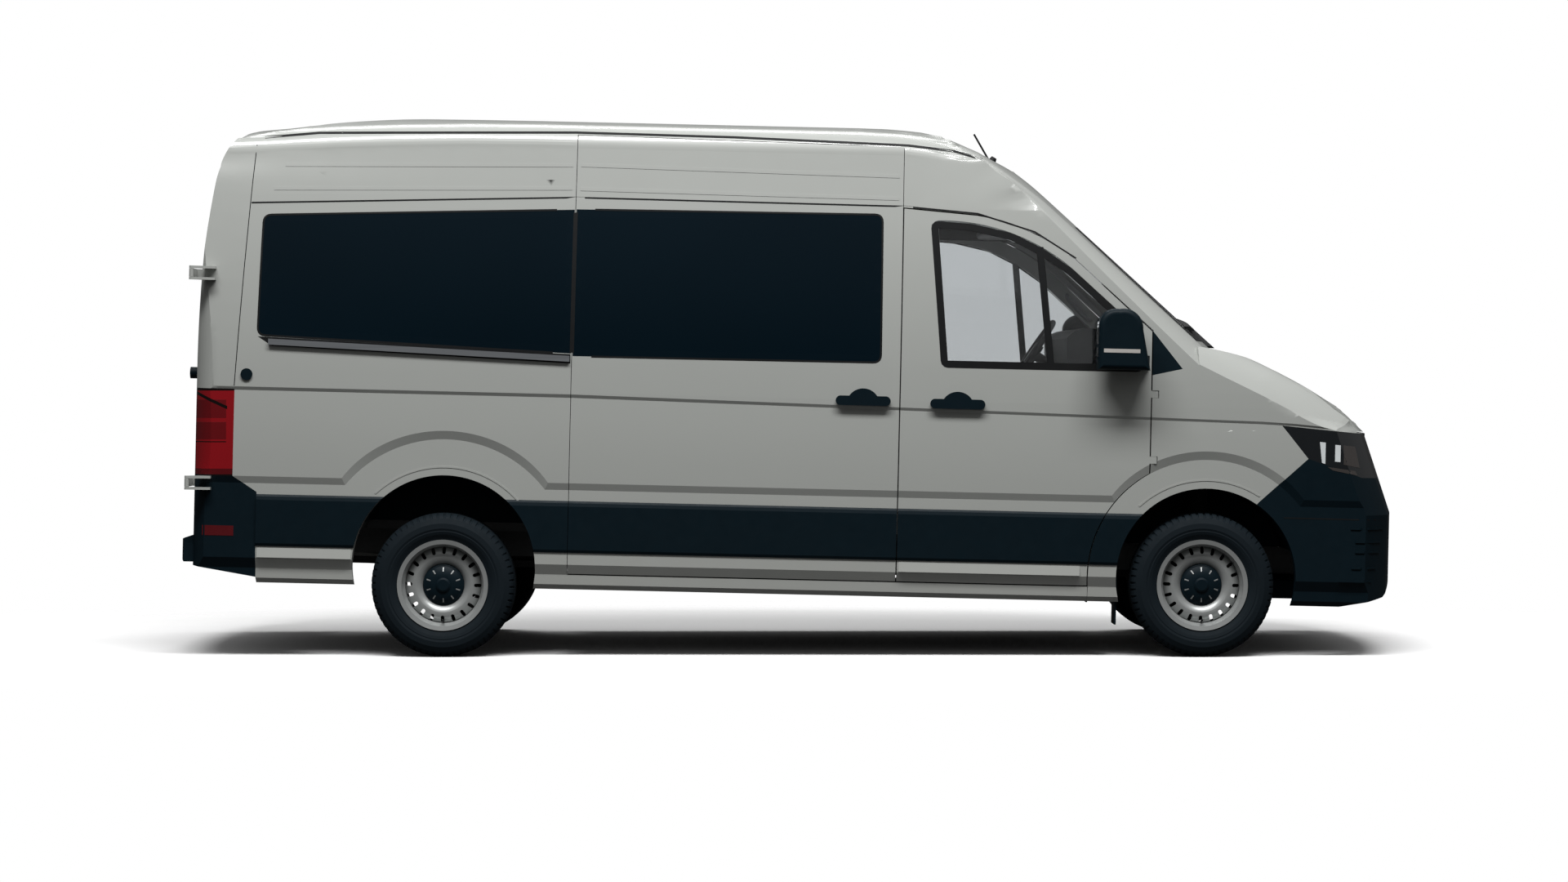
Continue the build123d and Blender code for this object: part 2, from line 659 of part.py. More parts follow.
INTAKE_SLOTS = 3
INTAKE_HALF_WIDTH = 470.0
INTAKE_LOW = 498.0
INTAKE_PITCH = 58.0
INTAKE_SLOT_HEIGHT = 40.0


def front_bumper():
    """The front bumper with its lower intake slots."""
    region = prism_y(
        -FAR_Y, FAR_Y, (2200, 742), BUMPER_TIP, LAMP_LOW, LAMP_FRONT, (FAR_X, FASCIA_Z), (FAR_X, 200),
        (2005, 200), FRONT_ARCH)
    bumper = WALLS & region
    for row in range(INTAKE_SLOTS):
        z = INTAKE_LOW + row * INTAKE_PITCH
        half = INTAKE_SLOT_HEIGHT / 2
        bumper -= block(2700, FAR_X, -INTAKE_HALF_WIDTH, INTAKE_HALF_WIDTH, z - half, z + half)
    return bumper


STEP_REAR_X = -2993.0
STEP_CORNER = (-2896.0, 930.0)
STEP_Z = (392.0, 500.0)
STEP_FRONT_X = -2806.0
STEP_TOP_REAR = 470.0
STEP_TOP_FRONT = 522.0


def rear_bumper():
    """The rear bumper: two corners and the step between them, whose top rises to the doors."""
    corner_x, corner_y = STEP_CORNER
    low, high = STEP_Z
    front, rear_face = STEP_FRONT_X, CAB_START[0]
    foot_front, foot_rear = BUMPER_FOOT
    below = prism_y(
        -FAR_Y, FAR_Y, (BUMPER_FRONT_X, 0), (BUMPER_FRONT_X, foot_front), (-FAR_X, foot_rear), (-FAR_X, 0))
    corners = (SHELL & rear_bumper_corner()) - below
    step = prism_z(
        low, STEP_TOP_FRONT, (front, -corner_y), (corner_x, -corner_y), ((STEP_REAR_X, 0), (corner_x, corner_y)),
        (front, corner_y))
    step = step & prism_y(
        -FAR_Y, FAR_Y, (STEP_REAR_X, low), (STEP_REAR_X, STEP_TOP_REAR), (rear_face, STEP_TOP_FRONT),
        (rear_face, high), (front, high), (front, low))
    ends = both(block(corner_x, front, corner_y, REAR_APERTURE_Y + 4, low, high - 20))
    return corners + step + ends


def cladding_strip(x0, x1):
    """A strip of lower cladding on the right-hand side, proud of the flat below the band."""
    outer = BAND_INNER_Y + CLADDING
    low, high = CLADDING_Z
    return prism_x(
        x0, x1, (-BAND_INNER_Y, low), (-outer + 5, low + 2), (-outer, low + 14), (-outer, high - 26),
        (-outer + 4, high - 10), (-BAND_INNER_Y, high))


def cladding_right(x0, x1, arches=True):
    strip = cladding_strip(x0, x1)
    return strip - ARCHES if arches else strip


def body_trim():
    """The dark strips on the fixed sides and wings, the pads for the open doors and the sail covers."""
    right = cladding_right(BUMPER_FRONT_X, SLIDING_REAR_X - PANEL_GAP)
    left = mirrored(cladding_right(BUMPER_FRONT_X, SLIDING_FRONT_X))
    wing = cladding_right(1437, DOOR_FRONT_X) & wing_blank()
    pad = rod_y(PAD_X, BUFFER_Z, BUFFER_R, 980, SHOULDER[0] + PAD_PROUD) - BODY
    return right + left + both(wing) + both(pad) + both(right_wall(*SAIL))


HANDLE_LENGTH = 262.0
HANDLE_R = 23.0
HANDLE_DOME = (67.0, 36.0)
HANDLE_Y = (1000.0, 1042.0)
SLIDING_HANDLE = (347.0, 1238.0)
DOOR_HANDLE = (799.0, 1232.0)


def pull_handle(x, z):
    """A bar with round ends and a dome over its middle, on the right-hand side."""
    inner, outer = HANDLE_Y
    reach, r = HANDLE_LENGTH / 2 - HANDLE_R, HANDLE_R
    half, rise = HANDLE_DOME
    bar_face = prism_y(
        -outer, -inner, (x - reach, z - r), (x + reach, z - r), ((x + reach + r, z), (x + reach, z + r)),
        (x - reach, z + r), ((x - reach - r, z), (x - reach, z - r)))
    dome = prism_y(
        -outer, -inner, (x - half, z), (x - half, z + r), ((x, z + r + rise), (x + half, z + r)), (x + half, z))
    return bar_face + dome


def sliding_door_trim():
    handle = pull_handle(*SLIDING_HANDLE) - BODY
    return cladding_right(SLIDING_REAR_X, SLIDING_FRONT_X, arches=False) + handle


MIRROR_START = (1452.0, 1412.0)
MIRROR_STEPS = [(1452, 1612), ((1480, 1682), (1548, 1702)), ((1624, 1686), (1662, 1606)), (1700, 1412)]
MIRROR_WIDTH = 150.0
MIRROR_Y = 1135.0
MIRROR_ROUND = 26.0
MIRROR_ARM_Z = (1424.0, 1484.0)


def front_door_trim():
    """The left door's cladding, handle and mirror."""
    edge = prism_y(-FAR_Y, 0, (DOOR_REAR_X, 300), (DOOR_REAR_X, 900), (DOOR_FRONT_X, DOOR_ARCH_TOP), DOOR_ARCH)
    strip = cladding_strip(DOOR_REAR_X, DOOR_FRONT_X) & edge
    handle = pull_handle(*DOOR_HANDLE) - BODY
    half = MIRROR_WIDTH / 2
    head = prism_y(-MIRROR_Y - half, -MIRROR_Y + half, MIRROR_START, *MIRROR_STEPS)
    rims = [edge for edge in head.edges() if abs(edge.length - MIRROR_WIDTH) > 1]
    head = fillet(rims, MIRROR_ROUND)
    arm = prism_z(*MIRROR_ARM_Z, (1692, -990), (1718, -990), (1680, -MIRROR_Y), (1600, -MIRROR_Y)) - BODY
    return mirrored(strip + handle + (head + arm))


def rear_door():
    """The left rear door before its window is cut, and its hinge straps."""
    x, y = REAR_HINGE
    back, front = x + STRAP_X[0], x + STRAP_X[1]
    door = SHELL & rear_opening(DOOR_GAP, PANEL_GAP)
    straps = Part()
    for z in REAR_HINGE_Z:
        low, high = z - STRAP_HALF, z + STRAP_HALF
        strap = block(back, front, STRAP_Y, y, low, high) + rod_z(x, y, REAR_KNUCKLE_R, low, high)
        foot = block(back, STRAP_FOOT_X, *STRAP_FOOT_Y, low, high)
        straps += strap + (foot - SHELL) - rod_z(x, y, REAR_PIN_R + PIN_CLEARANCE, low, high)
    return door, straps


REAR_GLASS = [(120, 1470), (120, 2060), (790, 2060), (820, 1470)]


def rear_door_pieces():
    door, straps = rear_door()
    face = fillet(closed_face(on_yz, *REAR_GLASS).vertices(), GLASS_CORNER)
    pane = (Pos(-FAR_X, 0, 0) * extrude(face, 1000, dir=(1, 0, 0)) & door) - Pos(GLASS, 0, 0) * BODY
    hole = Pos(-FAR_X, 0, 0) * extrude(offset(face, -GLASS_LAND), 1000, dir=(1, 0, 0))
    door = door - pane - hole
    return door + straps, pane


BUFFER_Z = 1298.0
BUFFER_R = 28.0
PAD_PROUD = 8.0
PAD_X = -2601.0
BUFFER_ROOM = 5.0


def rear_door_trim():
    """The left rear door's rubber buffer and handle."""
    hinge_x, hinge_y = REAR_HINGE
    y = hinge_y - (PAD_X - hinge_x)
    tip = hinge_x - (hinge_y - SHOULDER[0] - PAD_PROUD - BUFFER_ROOM)
    buffer = Pos((tip - 2800) / 2, y, BUFFER_Z) * Rot(0, 90, 0) * Cylinder(BUFFER_R, -2800 - tip)
    handle = block(-2866, -2820, 40, 90, 1180, 1330)
    return (buffer + handle) - BODY


# Floor and chassis
FLOOR_Z = 600.0
FLOOR_T = 40.0
RAIL_Y = 430.0
RAIL_W = 80.0
RAIL_Z = (430.0, FLOOR_Z - FLOOR_T)
FLOOR_REAR_X = CAB_START[0] + SKIN_INSET + DOOR_GAP
FLOOR_FRONT_X = 1560.0
WHEEL_BOX_Y = 640.0
WHEEL_BOX_T = 8.0
DECK_X = (-2730.0, 440.0)
DECK_HALF_WIDTH = 620.0
DECK_T = 12.0
TOWING_EYE = (-RAIL_Y, 498.0)
TOWING_EYE_R = 10.0
TOWING_EYE_DEPTH = 80.0
RAIL_FRONT_X = 2700.0
CROSS_MEMBERS = (-2770, -1950, -1100, -300, 500, 1200)
OUTRIGGERS = (-2300, -960, 330, 1000)


def underbody():
    """The floor with its rails, cross members, rear sill and raised load deck."""
    bottom = FLOOR_Z - FLOOR_T
    cab_width = SIDE_INNER - DOOR_GAP
    load = block(FLOOR_REAR_X, SLIDING_FRONT_X, -SIDE_INNER, SIDE_INNER, bottom, FLOOR_Z)
    cab = block(SLIDING_FRONT_X, FLOOR_FRONT_X, -cab_width, cab_width, bottom, FLOOR_Z)
    rails = both(block(FLOOR_REAR_X, RAIL_FRONT_X, RAIL_Y - RAIL_W / 2, RAIL_Y + RAIL_W / 2, *RAIL_Z))
    floor = load + cab + rails
    for x in CROSS_MEMBERS:
        floor += block(x - 30, x + 30, -RAIL_Y, RAIL_Y, RAIL_Z[0] + 40, RAIL_Z[1])
    for x in OUTRIGGERS:
        floor += both(block(x - 25, x + 25, RAIL_Y, cab_width, RAIL_Z[1] - 60, RAIL_Z[1]))
    sill = BODY & block(-FAR_X, -2740, -REAR_APERTURE_Y, REAR_APERTURE_Y, REAR_SILL_Z, REAR_SILL_TOP)
    deck = block(*DECK_X, -DECK_HALF_WIDTH, DECK_HALF_WIDTH, FLOOR_Z, FLOOR_Z + DECK_T)
    eye_y, eye_z = TOWING_EYE
    thread = Pos(RAIL_FRONT_X - TOWING_EYE_DEPTH / 2, eye_y, eye_z) * Rot(0, 90, 0)
    thread = thread * Cylinder(TOWING_EYE_R, TOWING_EYE_DEPTH)
    wheels = both(rod_y(*REAR_ARCH, REAR_ARCH_R, WHEEL_BOX_Y, SIDE_INNER))
    return floor + sill + deck - wheels - thread


DASH_SEAT_Z = 1330.0
DASH_HALF_WIDTH = 800.0


def bulkhead():
    """The toe board and the wall ahead of the cab."""
    width = SIDE_INNER - DOOR_GAP
    toe = prism_y(
        -width, width, (1520, FLOOR_Z), (FLOOR_FRONT_X, FLOOR_Z), (1760, 930), (1760, 960), (1730, 960))
    wall = block(1730, 1760, -SIDE_INNER, SIDE_INNER, 930, DASH_SEAT_Z)
    return (toe + wall) & inner_prism()


DASH_START = (1340, 1310)
DASH_STEPS = [
    (1330, 1560), ((1380, 1600), (1480, 1604)), (1800, 1560), (1900, 1440),
    (1770, DASH_SEAT_Z), (1720, DASH_SEAT_Z), (1480, 1250)]
COLUMN_R = 26.0
COLUMN_LENGTH = 200.0
COLUMN_DROP = 132.3


def dashboard():
    """The dashboard under the windscreen, with the steering column."""
    body = prism_y(-DASH_HALF_WIDTH, DASH_HALF_WIDTH, DASH_START, *DASH_STEPS)
    column = Pos(0, 0, -COLUMN_DROP) * Cylinder(COLUMN_R, COLUMN_LENGTH)
    return body + steering_place() * column


SEAT_BOX_X = (640.0, 1060.0)
SEAT_BOX_INSET = 30.0
SEAT_BASE = 860.0
CUSHION_START = (600, SEAT_BASE)
CUSHION_STEPS = [(1120, SEAT_BASE), ((1140, 930), (1100, 985)), (640, 960)]
BACK_START = (600, 940)
BACK_STEPS = [(700, 960), (660, 1355), ((620, 1385), (570, 1355))]
# Driver's seat and passengers' bench, as y from and to
SEAT_PLACES = [(200, 720), (-740, 40)]


def seats():
    """The seats on their boxes, from the floor up."""
    made = Part()
    for y0, y1 in SEAT_PLACES:
        made += block(*SEAT_BOX_X, y0 + SEAT_BOX_INSET, y1 - SEAT_BOX_INSET, FLOOR_Z, SEAT_BASE)
        made += prism_y(y0, y1, CUSHION_START, *CUSHION_STEPS) + prism_y(y0, y1, BACK_START, *BACK_STEPS)
    return made


STEERING_CENTRE = (1245.0, 450.0, 1490.0)
STEERING_TILT = 33.0
STEERING_R = 190.0
STEERING_RIM = 15.0
STEERING_HUB = (58.0, 44.0)
HUB_DROP = 10.0
SPOKE = (150.0, 34.0, 16.0)
SPOKE_MIDDLE = 110.0
SPOKES = 3


def steering_place():
    return Pos(*STEERING_CENTRE) * Rot(0, -90 + STEERING_TILT, 0)


def steering_wheel():
    """Rim, spokes and hub, with the column's end."""
    rim = Torus(STEERING_R, STEERING_RIM)
    hub = Pos(0, 0, -HUB_DROP) * Cylinder(*STEERING_HUB)
    spokes = Part()
    for number in range(SPOKES):
        spokes += Rot(0, 0, 360 / SPOKES * number) * Pos(SPOKE_MIDDLE, 0, -HUB_DROP) * Box(*SPOKE)
    return steering_place() * (rim + hub + spokes)


# Wheels: left-hand, axis along Y, about the wheel centre; outer face towards +Y
RIM_BEAD_R = 205.0
RIM_FLANGE_R = 218.0
HUB_R = 35.0
CAP_R = 102.0
VENTS = 20
VENT_RADIUS = 165.0
VENT_LENGTH = 34.0
VENT_WIDTH = 17.0
DISC_T = 9.0


def turned(start, *steps):
    """A ring turned about the Y axis from an outline of radius and y."""
    def place(r, y):
        return (r, y, 0)
    return revolve(closed_face(place, start, *steps), Axis.Y)


def tyre():
    half = TYRE_WIDTH / 2
    tread = TYRE_RADIUS
    bore = RIM_BEAD_R + 0.3
    return turned(
        (bore, -92), (bore, 92), (225, 101), ((272, half), (tread - 26, half - 12)),
        ((tread - 6, half - 24), (tread, half - 40)), (tread, -half + 40),
        ((tread - 6, -half + 24), (tread - 26, -half + 12)), ((272, -half), (225, -101)))


def rim():
    barrel = turned(
        (RIM_FLANGE_R, 104), (RIM_FLANGE_R, 99), (RIM_BEAD_R, 94), (RIM_BEAD_R, 72), (192, 52), (192, -60),
        (RIM_BEAD_R, -74), (RIM_BEAD_R, -94), (RIM_FLANGE_R, -99), (RIM_FLANGE_R, -104), (RIM_BEAD_R - 8, -100),
        (RIM_BEAD_R - 8, -78), (184, -64), (184, 54), (RIM_BEAD_R - 8, 76), (RIM_BEAD_R - 8, 100))
    t = DISC_T
    disc = turned(
        (HUB_R + PIN_CLEARANCE, 30), (96, 30), ((112, 52), (132, 62)), ((160, 58), (186, 34)), (186, 34 - 2 * t),
        ((158, 58 - t), (132, 62 - t)), ((118, 50 - t), (104, 30 - t)), (HUB_R + PIN_CLEARANCE, 30 - t))
    vents = Part()
    for number in range(VENTS):
        slot = SlotOverall(VENT_LENGTH, VENT_WIDTH)
        solid = Pos(0, 10, 0) * extrude(Rot(90, 0, 0) * slot, 80, dir=(0, 1, 0))
        vents += Rot(0, 360 / VENTS * number, 0) * Pos(VENT_RADIUS, 0, 0) * solid
    return barrel + (disc - vents)


def cap():
    return turned(
        (0, 30), (CAP_R - 10, 30), ((CAP_R - 3, 38), (CAP_R - 12, 48)), ((60, 62), (34, 66)),
        (34, 72), (26, 76), (0, 76))


def at_wheel(part, hub, side):
    x, z = hub
    placed = part if side > 0 else mirrored(part)
    return Pos(x, side * WHEEL_Y, z) * placed


# Front suspension, left side: kingpin line and arms
KINGPIN_Y = 810.0
KINGPIN_R = 14.0
ARM_LOW_Z = -120.0
ARM_HIGH_Z = 120.0
STRUT_Y = 640.0


POST_HALF = 32.0
POST_Y = (KINGPIN_Y - 28, KINGPIN_Y + 22)
STUB_END = WHEEL_Y + 29.0
FLANGE_R = 75.0
FLANGE_END = WHEEL_Y + 20.7
BRAKE_R = 150.0
BRAKE_Y = (KINGPIN_Y + 34, KINGPIN_Y + 56)
ARM_T = 24.0
ARM_ROOM = 0.3
KINGPIN_DEPTH = 46.0


def knuckle():
    """The left knuckle with its stub axle and brake disc, turning on the arms' pins."""
    x, z = FRONT_HUB
    low, high = z + ARM_LOW_Z, z + ARM_HIGH_Z
    room = ARM_T / 2 + ARM_ROOM
    post = block(x - POST_HALF, x + POST_HALF, *POST_Y, low + room, high - room)
    stub = rod_y(x, z, HUB_R, KINGPIN_Y, STUB_END)
    flange = rod_y(x, z, FLANGE_R, KINGPIN_Y + 15, FLANGE_END)
    disc = rod_y(x, z, BRAKE_R, *BRAKE_Y)
    bore = KINGPIN_R + PIN_CLEARANCE
    holes = rod_z(x, KINGPIN_Y, bore, low, low + KINGPIN_DEPTH + 4)
    holes += rod_z(x, KINGPIN_Y, bore, high - KINGPIN_DEPTH - 4, high)
    return post + stub + flange + disc - holes


CROSS_BEAM = (90.0, 470.0, -30.0, 40.0)
BEAM_HANGER = (70.0, 40.0)
# Each arm in plan: half width and y at its root, half width at the kingpin, and the y of its round end
LOWER_ARM = (110.0, 440.0, 26.0, 838.0)
UPPER_ARM = (60.0, 640.0, 24.0, 834.0)
ARM_END_Y = 820.0
STRUT_ROD = (28.0, 800.0)
STRUT_SPRING = (50.0, 900.0)


def arm(height, outline):
    """One arm of the left front wheel at its height."""
    x = FRONT_HUB[0]
    root, root_y, tip, end_y = outline
    return prism_z(
        height - ARM_T / 2, height + ARM_T / 2, (x - root, root_y), (x + root, root_y), (x + tip, ARM_END_Y),
        ((x, end_y), (x - tip, ARM_END_Y)))


def front_suspension():
    """The cross beam with arms to both knuckles, and the struts."""
    x, z = FRONT_HUB
    low, high = z + ARM_LOW_Z, z + ARM_HIGH_Z
    half_x, half_y, foot, head = CROSS_BEAM
    beam = block(x - half_x, x + half_x, -half_y, half_y, low + foot, low + head)
    hang_x, hang_y = BEAM_HANGER
    hangers = both(block(x - hang_x, x + hang_x, RAIL_Y - hang_y, RAIL_Y + hang_y, low, RAIL_Z[0]))
    lower = arm(low, LOWER_ARM) + rod_z(x, KINGPIN_Y, KINGPIN_R, low - ARM_T / 2, low + KINGPIN_DEPTH)
    upper = arm(high, UPPER_ARM) + rod_z(x, KINGPIN_Y, KINGPIN_R, high - KINGPIN_DEPTH, high + ARM_T / 2)
    strut = rod_z(x, STRUT_Y, STRUT_ROD[0], low, STRUT_ROD[1])
    strut += rod_z(x, STRUT_Y, STRUT_SPRING[0], high + 20, STRUT_SPRING[1])
    strut = strut & rod_y(*FRONT_ARCH, FRONT_ARCH_R, 0, FAR_Y)
    return beam + hangers + both(lower + upper + strut)


LINER_INNER_Y = 540.0
LINER_T = 6.0
LINER_FOOT_Z = 330.0
LINER_HEAD_Z = 565.0
LINER_X = (1500.0, 2500.0)
LINER_FOOT = (1700.0, 700.0)
FLAP = (1577.0, 1585.0, 770.0, 940.0, 190.0, 420.0)


def wheel_liners():
    """The front wheel housings with the flaps behind them, and the boxes over the rear wheels."""
    outer = rod_y(*FRONT_ARCH, FRONT_ARCH_R + LINER_T, LINER_INNER_Y - LINER_T, SIDE_INNER)
    inner = rod_y(*FRONT_ARCH, FRONT_ARCH_R, LINER_INNER_Y, SIDE_INNER)
    keep = block(*LINER_X, LINER_INNER_Y - LINER_T, SIDE_INNER, LINER_HEAD_Z, FAR_Z)
    keep += block(LINER_X[0], LINER_FOOT[0], LINER_FOOT[1], SIDE_INNER, LINER_FOOT_Z, LINER_HEAD_Z)
    housing = (outer - inner) & keep
    box_outer = rod_y(*REAR_ARCH, REAR_ARCH_R + WHEEL_BOX_T, WHEEL_BOX_Y - WHEEL_BOX_T, SIDE_INNER)
    box_inner = rod_y(*REAR_ARCH, REAR_ARCH_R, WHEEL_BOX_Y, SIDE_INNER)
    above = block(-FAR_X, 0, 0, FAR_Y, FLOOR_Z, FAR_Z)
    return both(housing + block(*FLAP) + ((box_outer - box_inner) & above))


SPRING_REACH = 700.0
SPRING_SEAT = 62.0
SPRING_HALF_WIDTH = 32.0
SPRING_EYE = 26.0
AXLE_R = 55.0
AXLE_END = 60.0
DIFFERENTIAL = (60.0, 135.0)
DRUM_Y = (WHEEL_Y - 110, WHEEL_Y - 40)
SPRING_SADDLE = 60.0


def rear_axle():
    """The rear beam with its differential and hubs, and the leaf springs that hang from the rails."""
    x, z = REAR_HUB
    base = z + SPRING_SEAT
    low, high = RAIL_Y - SPRING_HALF_WIDTH, RAIL_Y + SPRING_HALF_WIDTH
    tube = rod_y(x, z, AXLE_R, AXLE_END - WHEEL_Y, WHEEL_Y - AXLE_END)
    tube += Pos(x, DIFFERENTIAL[0], z) * Sphere(DIFFERENTIAL[1])
    drum = rod_y(x, z, BRAKE_R, *DRUM_Y) + rod_y(x, z, FLANGE_R, WHEEL_Y - AXLE_END, FLANGE_END)
    stub = rod_y(x, z, HUB_R, WHEEL_Y - 20, STUB_END)
    rear, front = x - SPRING_REACH, x + SPRING_REACH
    leaf = prism_y(
        low, high, (rear, base + 24), ((x, base), (front, base + 24)), (front, base + 44),
        ((x, base + 36), (rear, base + 44)))
    leaf += block(x - SPRING_SADDLE, x + SPRING_SADDLE, low - 4, high + 4, z, base + 8)
    for end in (rear, front):
        leaf += block(end - SPRING_EYE, end + SPRING_EYE, low - 6, high + 6, base + 10, RAIL_Z[0])
    return tube + both(drum + stub + leaf)


# Blocks as x from and to, y from and to, z from and to
ENGINE = (2080.0, 2620.0, -300.0, 300.0, 420.0, 1060.0)
SUMP = (2120.0, 2480.0, -200.0, 200.0, 330.0, 420.0)
ENGINE_MOUNT = (2300.0, 2400.0, 300.0, RAIL_Y - RAIL_W / 2, 470.0, 540.0)
FUEL_TANK = (-900.0, 250.0, 520.0, 820.0, 380.0, 560.0)
GEARBOX_HALF_WIDTH = 170.0
GEARBOX = [(1480, 380), (2080, 380), (2080, 640), (1780, 640), (1480, 520)]


def engine():
    """The engine and gearbox as one plain block, on mounts between the rails."""
    gearbox = prism_y(-GEARBOX_HALF_WIDTH, GEARBOX_HALF_WIDTH, *GEARBOX)
    return block(*ENGINE) + block(*SUMP) + gearbox + both(block(*ENGINE_MOUNT))


EXHAUST_PLACE = (-620.0, 440.0)
PIPE_R = 32.0
PIPE_LENGTH = 1400.0
SILENCER_R = 95.0
SILENCER_LENGTH = 640.0
SILENCER_X = -250.0
EXHAUST_HANGERS = (-410, -110)
HANGER = (10.0, 20.0)


def exhaust():
    """The exhaust pipe and silencer on the right of the tunnel, hung from the floor."""
    y, z = EXHAUST_PLACE
    pipe = Pos(0, y, z) * Rot(0, 90, 0) * Cylinder(PIPE_R, PIPE_LENGTH)
    silencer = Pos(SILENCER_X, y, z) * Rot(0, 90, 0) * Cylinder(SILENCER_R, SILENCER_LENGTH)
    half_x, half_y = HANGER
    hangers = Part()
    for x in EXHAUST_HANGERS:
        hangers += block(x - half_x, x + half_x, y - half_y, y + half_y, z + 60, FLOOR_Z - FLOOR_T)
    return pipe + silencer + hangers


def fuel_tank():
    return block(*FUEL_TANK)


RAIL_LINE = [(-2500, 1442), (-1060, 1392), (-1060, 1420), (-2500, 1470)]


def door_track():
    """The sliding door's rail below the rear side window."""
    return prism_y(-1032, -980, *RAIL_LINE) - BODY


WIPER_LIFT = 0.3
WIPER_T = 14.0
BLADE_WIDTH = 22.0
ARM_WIDTH = 26.0
# Each wiper in front view: blade ends and spindle, as y and z
WIPERS = [((-600, 1622), (30, 1668), (-330, 1536)), ((60, 1622), (640, 1650), (300, 1536))]


def bar(start, end, width):
    """A flat bar outline in front view, from one point to the other."""
    (y0, z0), (y1, z1) = start, end
    length = sqrt((y1 - y0) ** 2 + (z1 - z0) ** 2)
    ny, nz = -(z1 - z0) / length * width / 2, (y1 - y0) / length * width / 2
    return prism_x(1500, 2200, (y0 + ny, z0 + nz), (y1 + ny, z1 + nz), (y1 - ny, z1 - nz), (y0 - ny, z0 - nz))


def wipers():
    """Two wipers lying on the windscreen above the cowl."""
    bars = Part()
    for start, end, spindle in WIPERS:
        middle = ((start[0] + end[0]) / 2, (start[1] + end[1]) / 2)
        bars += bar(start, end, BLADE_WIDTH) + bar(spindle, middle, ARM_WIDTH)
    layer = Pos(WIPER_T, 0, WIPER_T) * BODY - Pos(WIPER_LIFT, 0, WIPER_LIFT) * BODY
    return bars & layer


AERIAL_X = 985.0
AERIAL_LENGTH = 170.0
AERIAL_LEAN = 31.0
AERIAL_R = 5.0
AERIAL_ROOT_Z = 2440.0
AERIAL_FOOT = (34.0, 14.0, 70.0)
ROOF_SLOPE = 30.0


def aerial():
    """A short mast that leans back, on a foot on the roof."""
    root = Pos(AERIAL_X, 0, AERIAL_ROOT_Z)
    mast = root * Rot(0, -AERIAL_LEAN, 0) * Pos(0, 0, AERIAL_LENGTH / 2) * Cylinder(AERIAL_R, AERIAL_LENGTH)
    foot = root * Rot(0, ROOF_SLOPE, 0) * Cone(*AERIAL_FOOT)
    return (mast + foot) - BODY


PIECES = {
    "roof": roof(),
    "quarter_panel_right": quarter_panel_right(),
    "side_panel_left": side_panel_left(),
    "rear_frame": rear_frame(),
    "windscreen_frame": windscreen_frame(),
    "front_wings": front_wings(),
    "door_frames": door_frames(),
    "underbody": underbody(),
    "bulkhead": bulkhead(),
    "windscreen": SCREEN,
    "side_windows": QUARTER_PANE + mirrored(QUARTER_PANE + MIDDLE_PANE),
    "grille": grille(),
    "headlamps": headlamps(),
    "front_bumper": front_bumper(),
    "rear_bumper": rear_bumper(),
    "tail_lamps": tail_lamps(),
    "dashboard": dashboard(),
    "seats": seats(),
    "body_trim": body_trim(),
    "sliding_door": sliding_door(),
    "sliding_door_glass": SLIDING_PANE,
    "sliding_door_trim": sliding_door_trim(),
    "door_track": door_track(),
    "wheel_liners": wheel_liners(),
    "front_suspension": front_suspension(),
    "rear_axle": rear_axle(),
    "engine": engine(),
    "exhaust": exhaust(),
    "fuel_tank": fuel_tank(),
    "wipers": wipers(),
    "aerial": aerial(),
    "bonnet": bonnet(),
    "steering_wheel": steering_wheel(),
}

# Pieces that come in pairs, drawn on the left
REAR_DOOR, REAR_PANE = rear_door_pieces()
PAIRS = {
    "front_door": front_door(),
    "front_door_glass": mirrored(DOOR_PANE),
    "front_door_trim": front_door_trim(),
    "rear_door": REAR_DOOR,
    "rear_door_glass": REAR_PANE,
    "rear_door_trim": rear_door_trim(),
    "knuckle": knuckle(),
}
for name, piece in PAIRS.items():
    PIECES[name + "_left"] = piece
    PIECES[name + "_right"] = mirrored(piece)

WHEEL_PARTS = {"tyre": tyre(), "rim": rim(), "wheel_cap": cap()}
for corner, hub, side in (
    ("front_left", FRONT_HUB, 1), ("front_right", FRONT_HUB, -1),
    ("rear_left", REAR_HUB, 1), ("rear_right", REAR_HUB, -1),
):
    for name, piece in WHEEL_PARTS.items():
        PIECES[f"{name}_{corner}"] = at_wheel(piece, hub, side)

if __name__ == "__main__":
    os.makedirs("parts", exist_ok=True)
    stand = Pos(FRAME_SHIFT_X, 0, TYRE_RADIUS) * Rot(0, BODY_RAKE, 0) * Pos(0, 0, -TYRE_RADIUS)
    for name, piece in PIECES.items():
        export_step(stand * piece, f"parts/{name}.step")
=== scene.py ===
# %% [markdown]
# A glazed panel van with a high roof, dressed for its photograph. The hard parts come from the
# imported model: this script gives them finishes and adds what a van carries on its surface, such as
# tread, seals, lamp fittings, plates and seats. Every piece rides on one of the model's bodies.

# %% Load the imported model
import json
import math

import bmesh
import bpy
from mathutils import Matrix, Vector
from mathutils.bvhtree import BVHTree


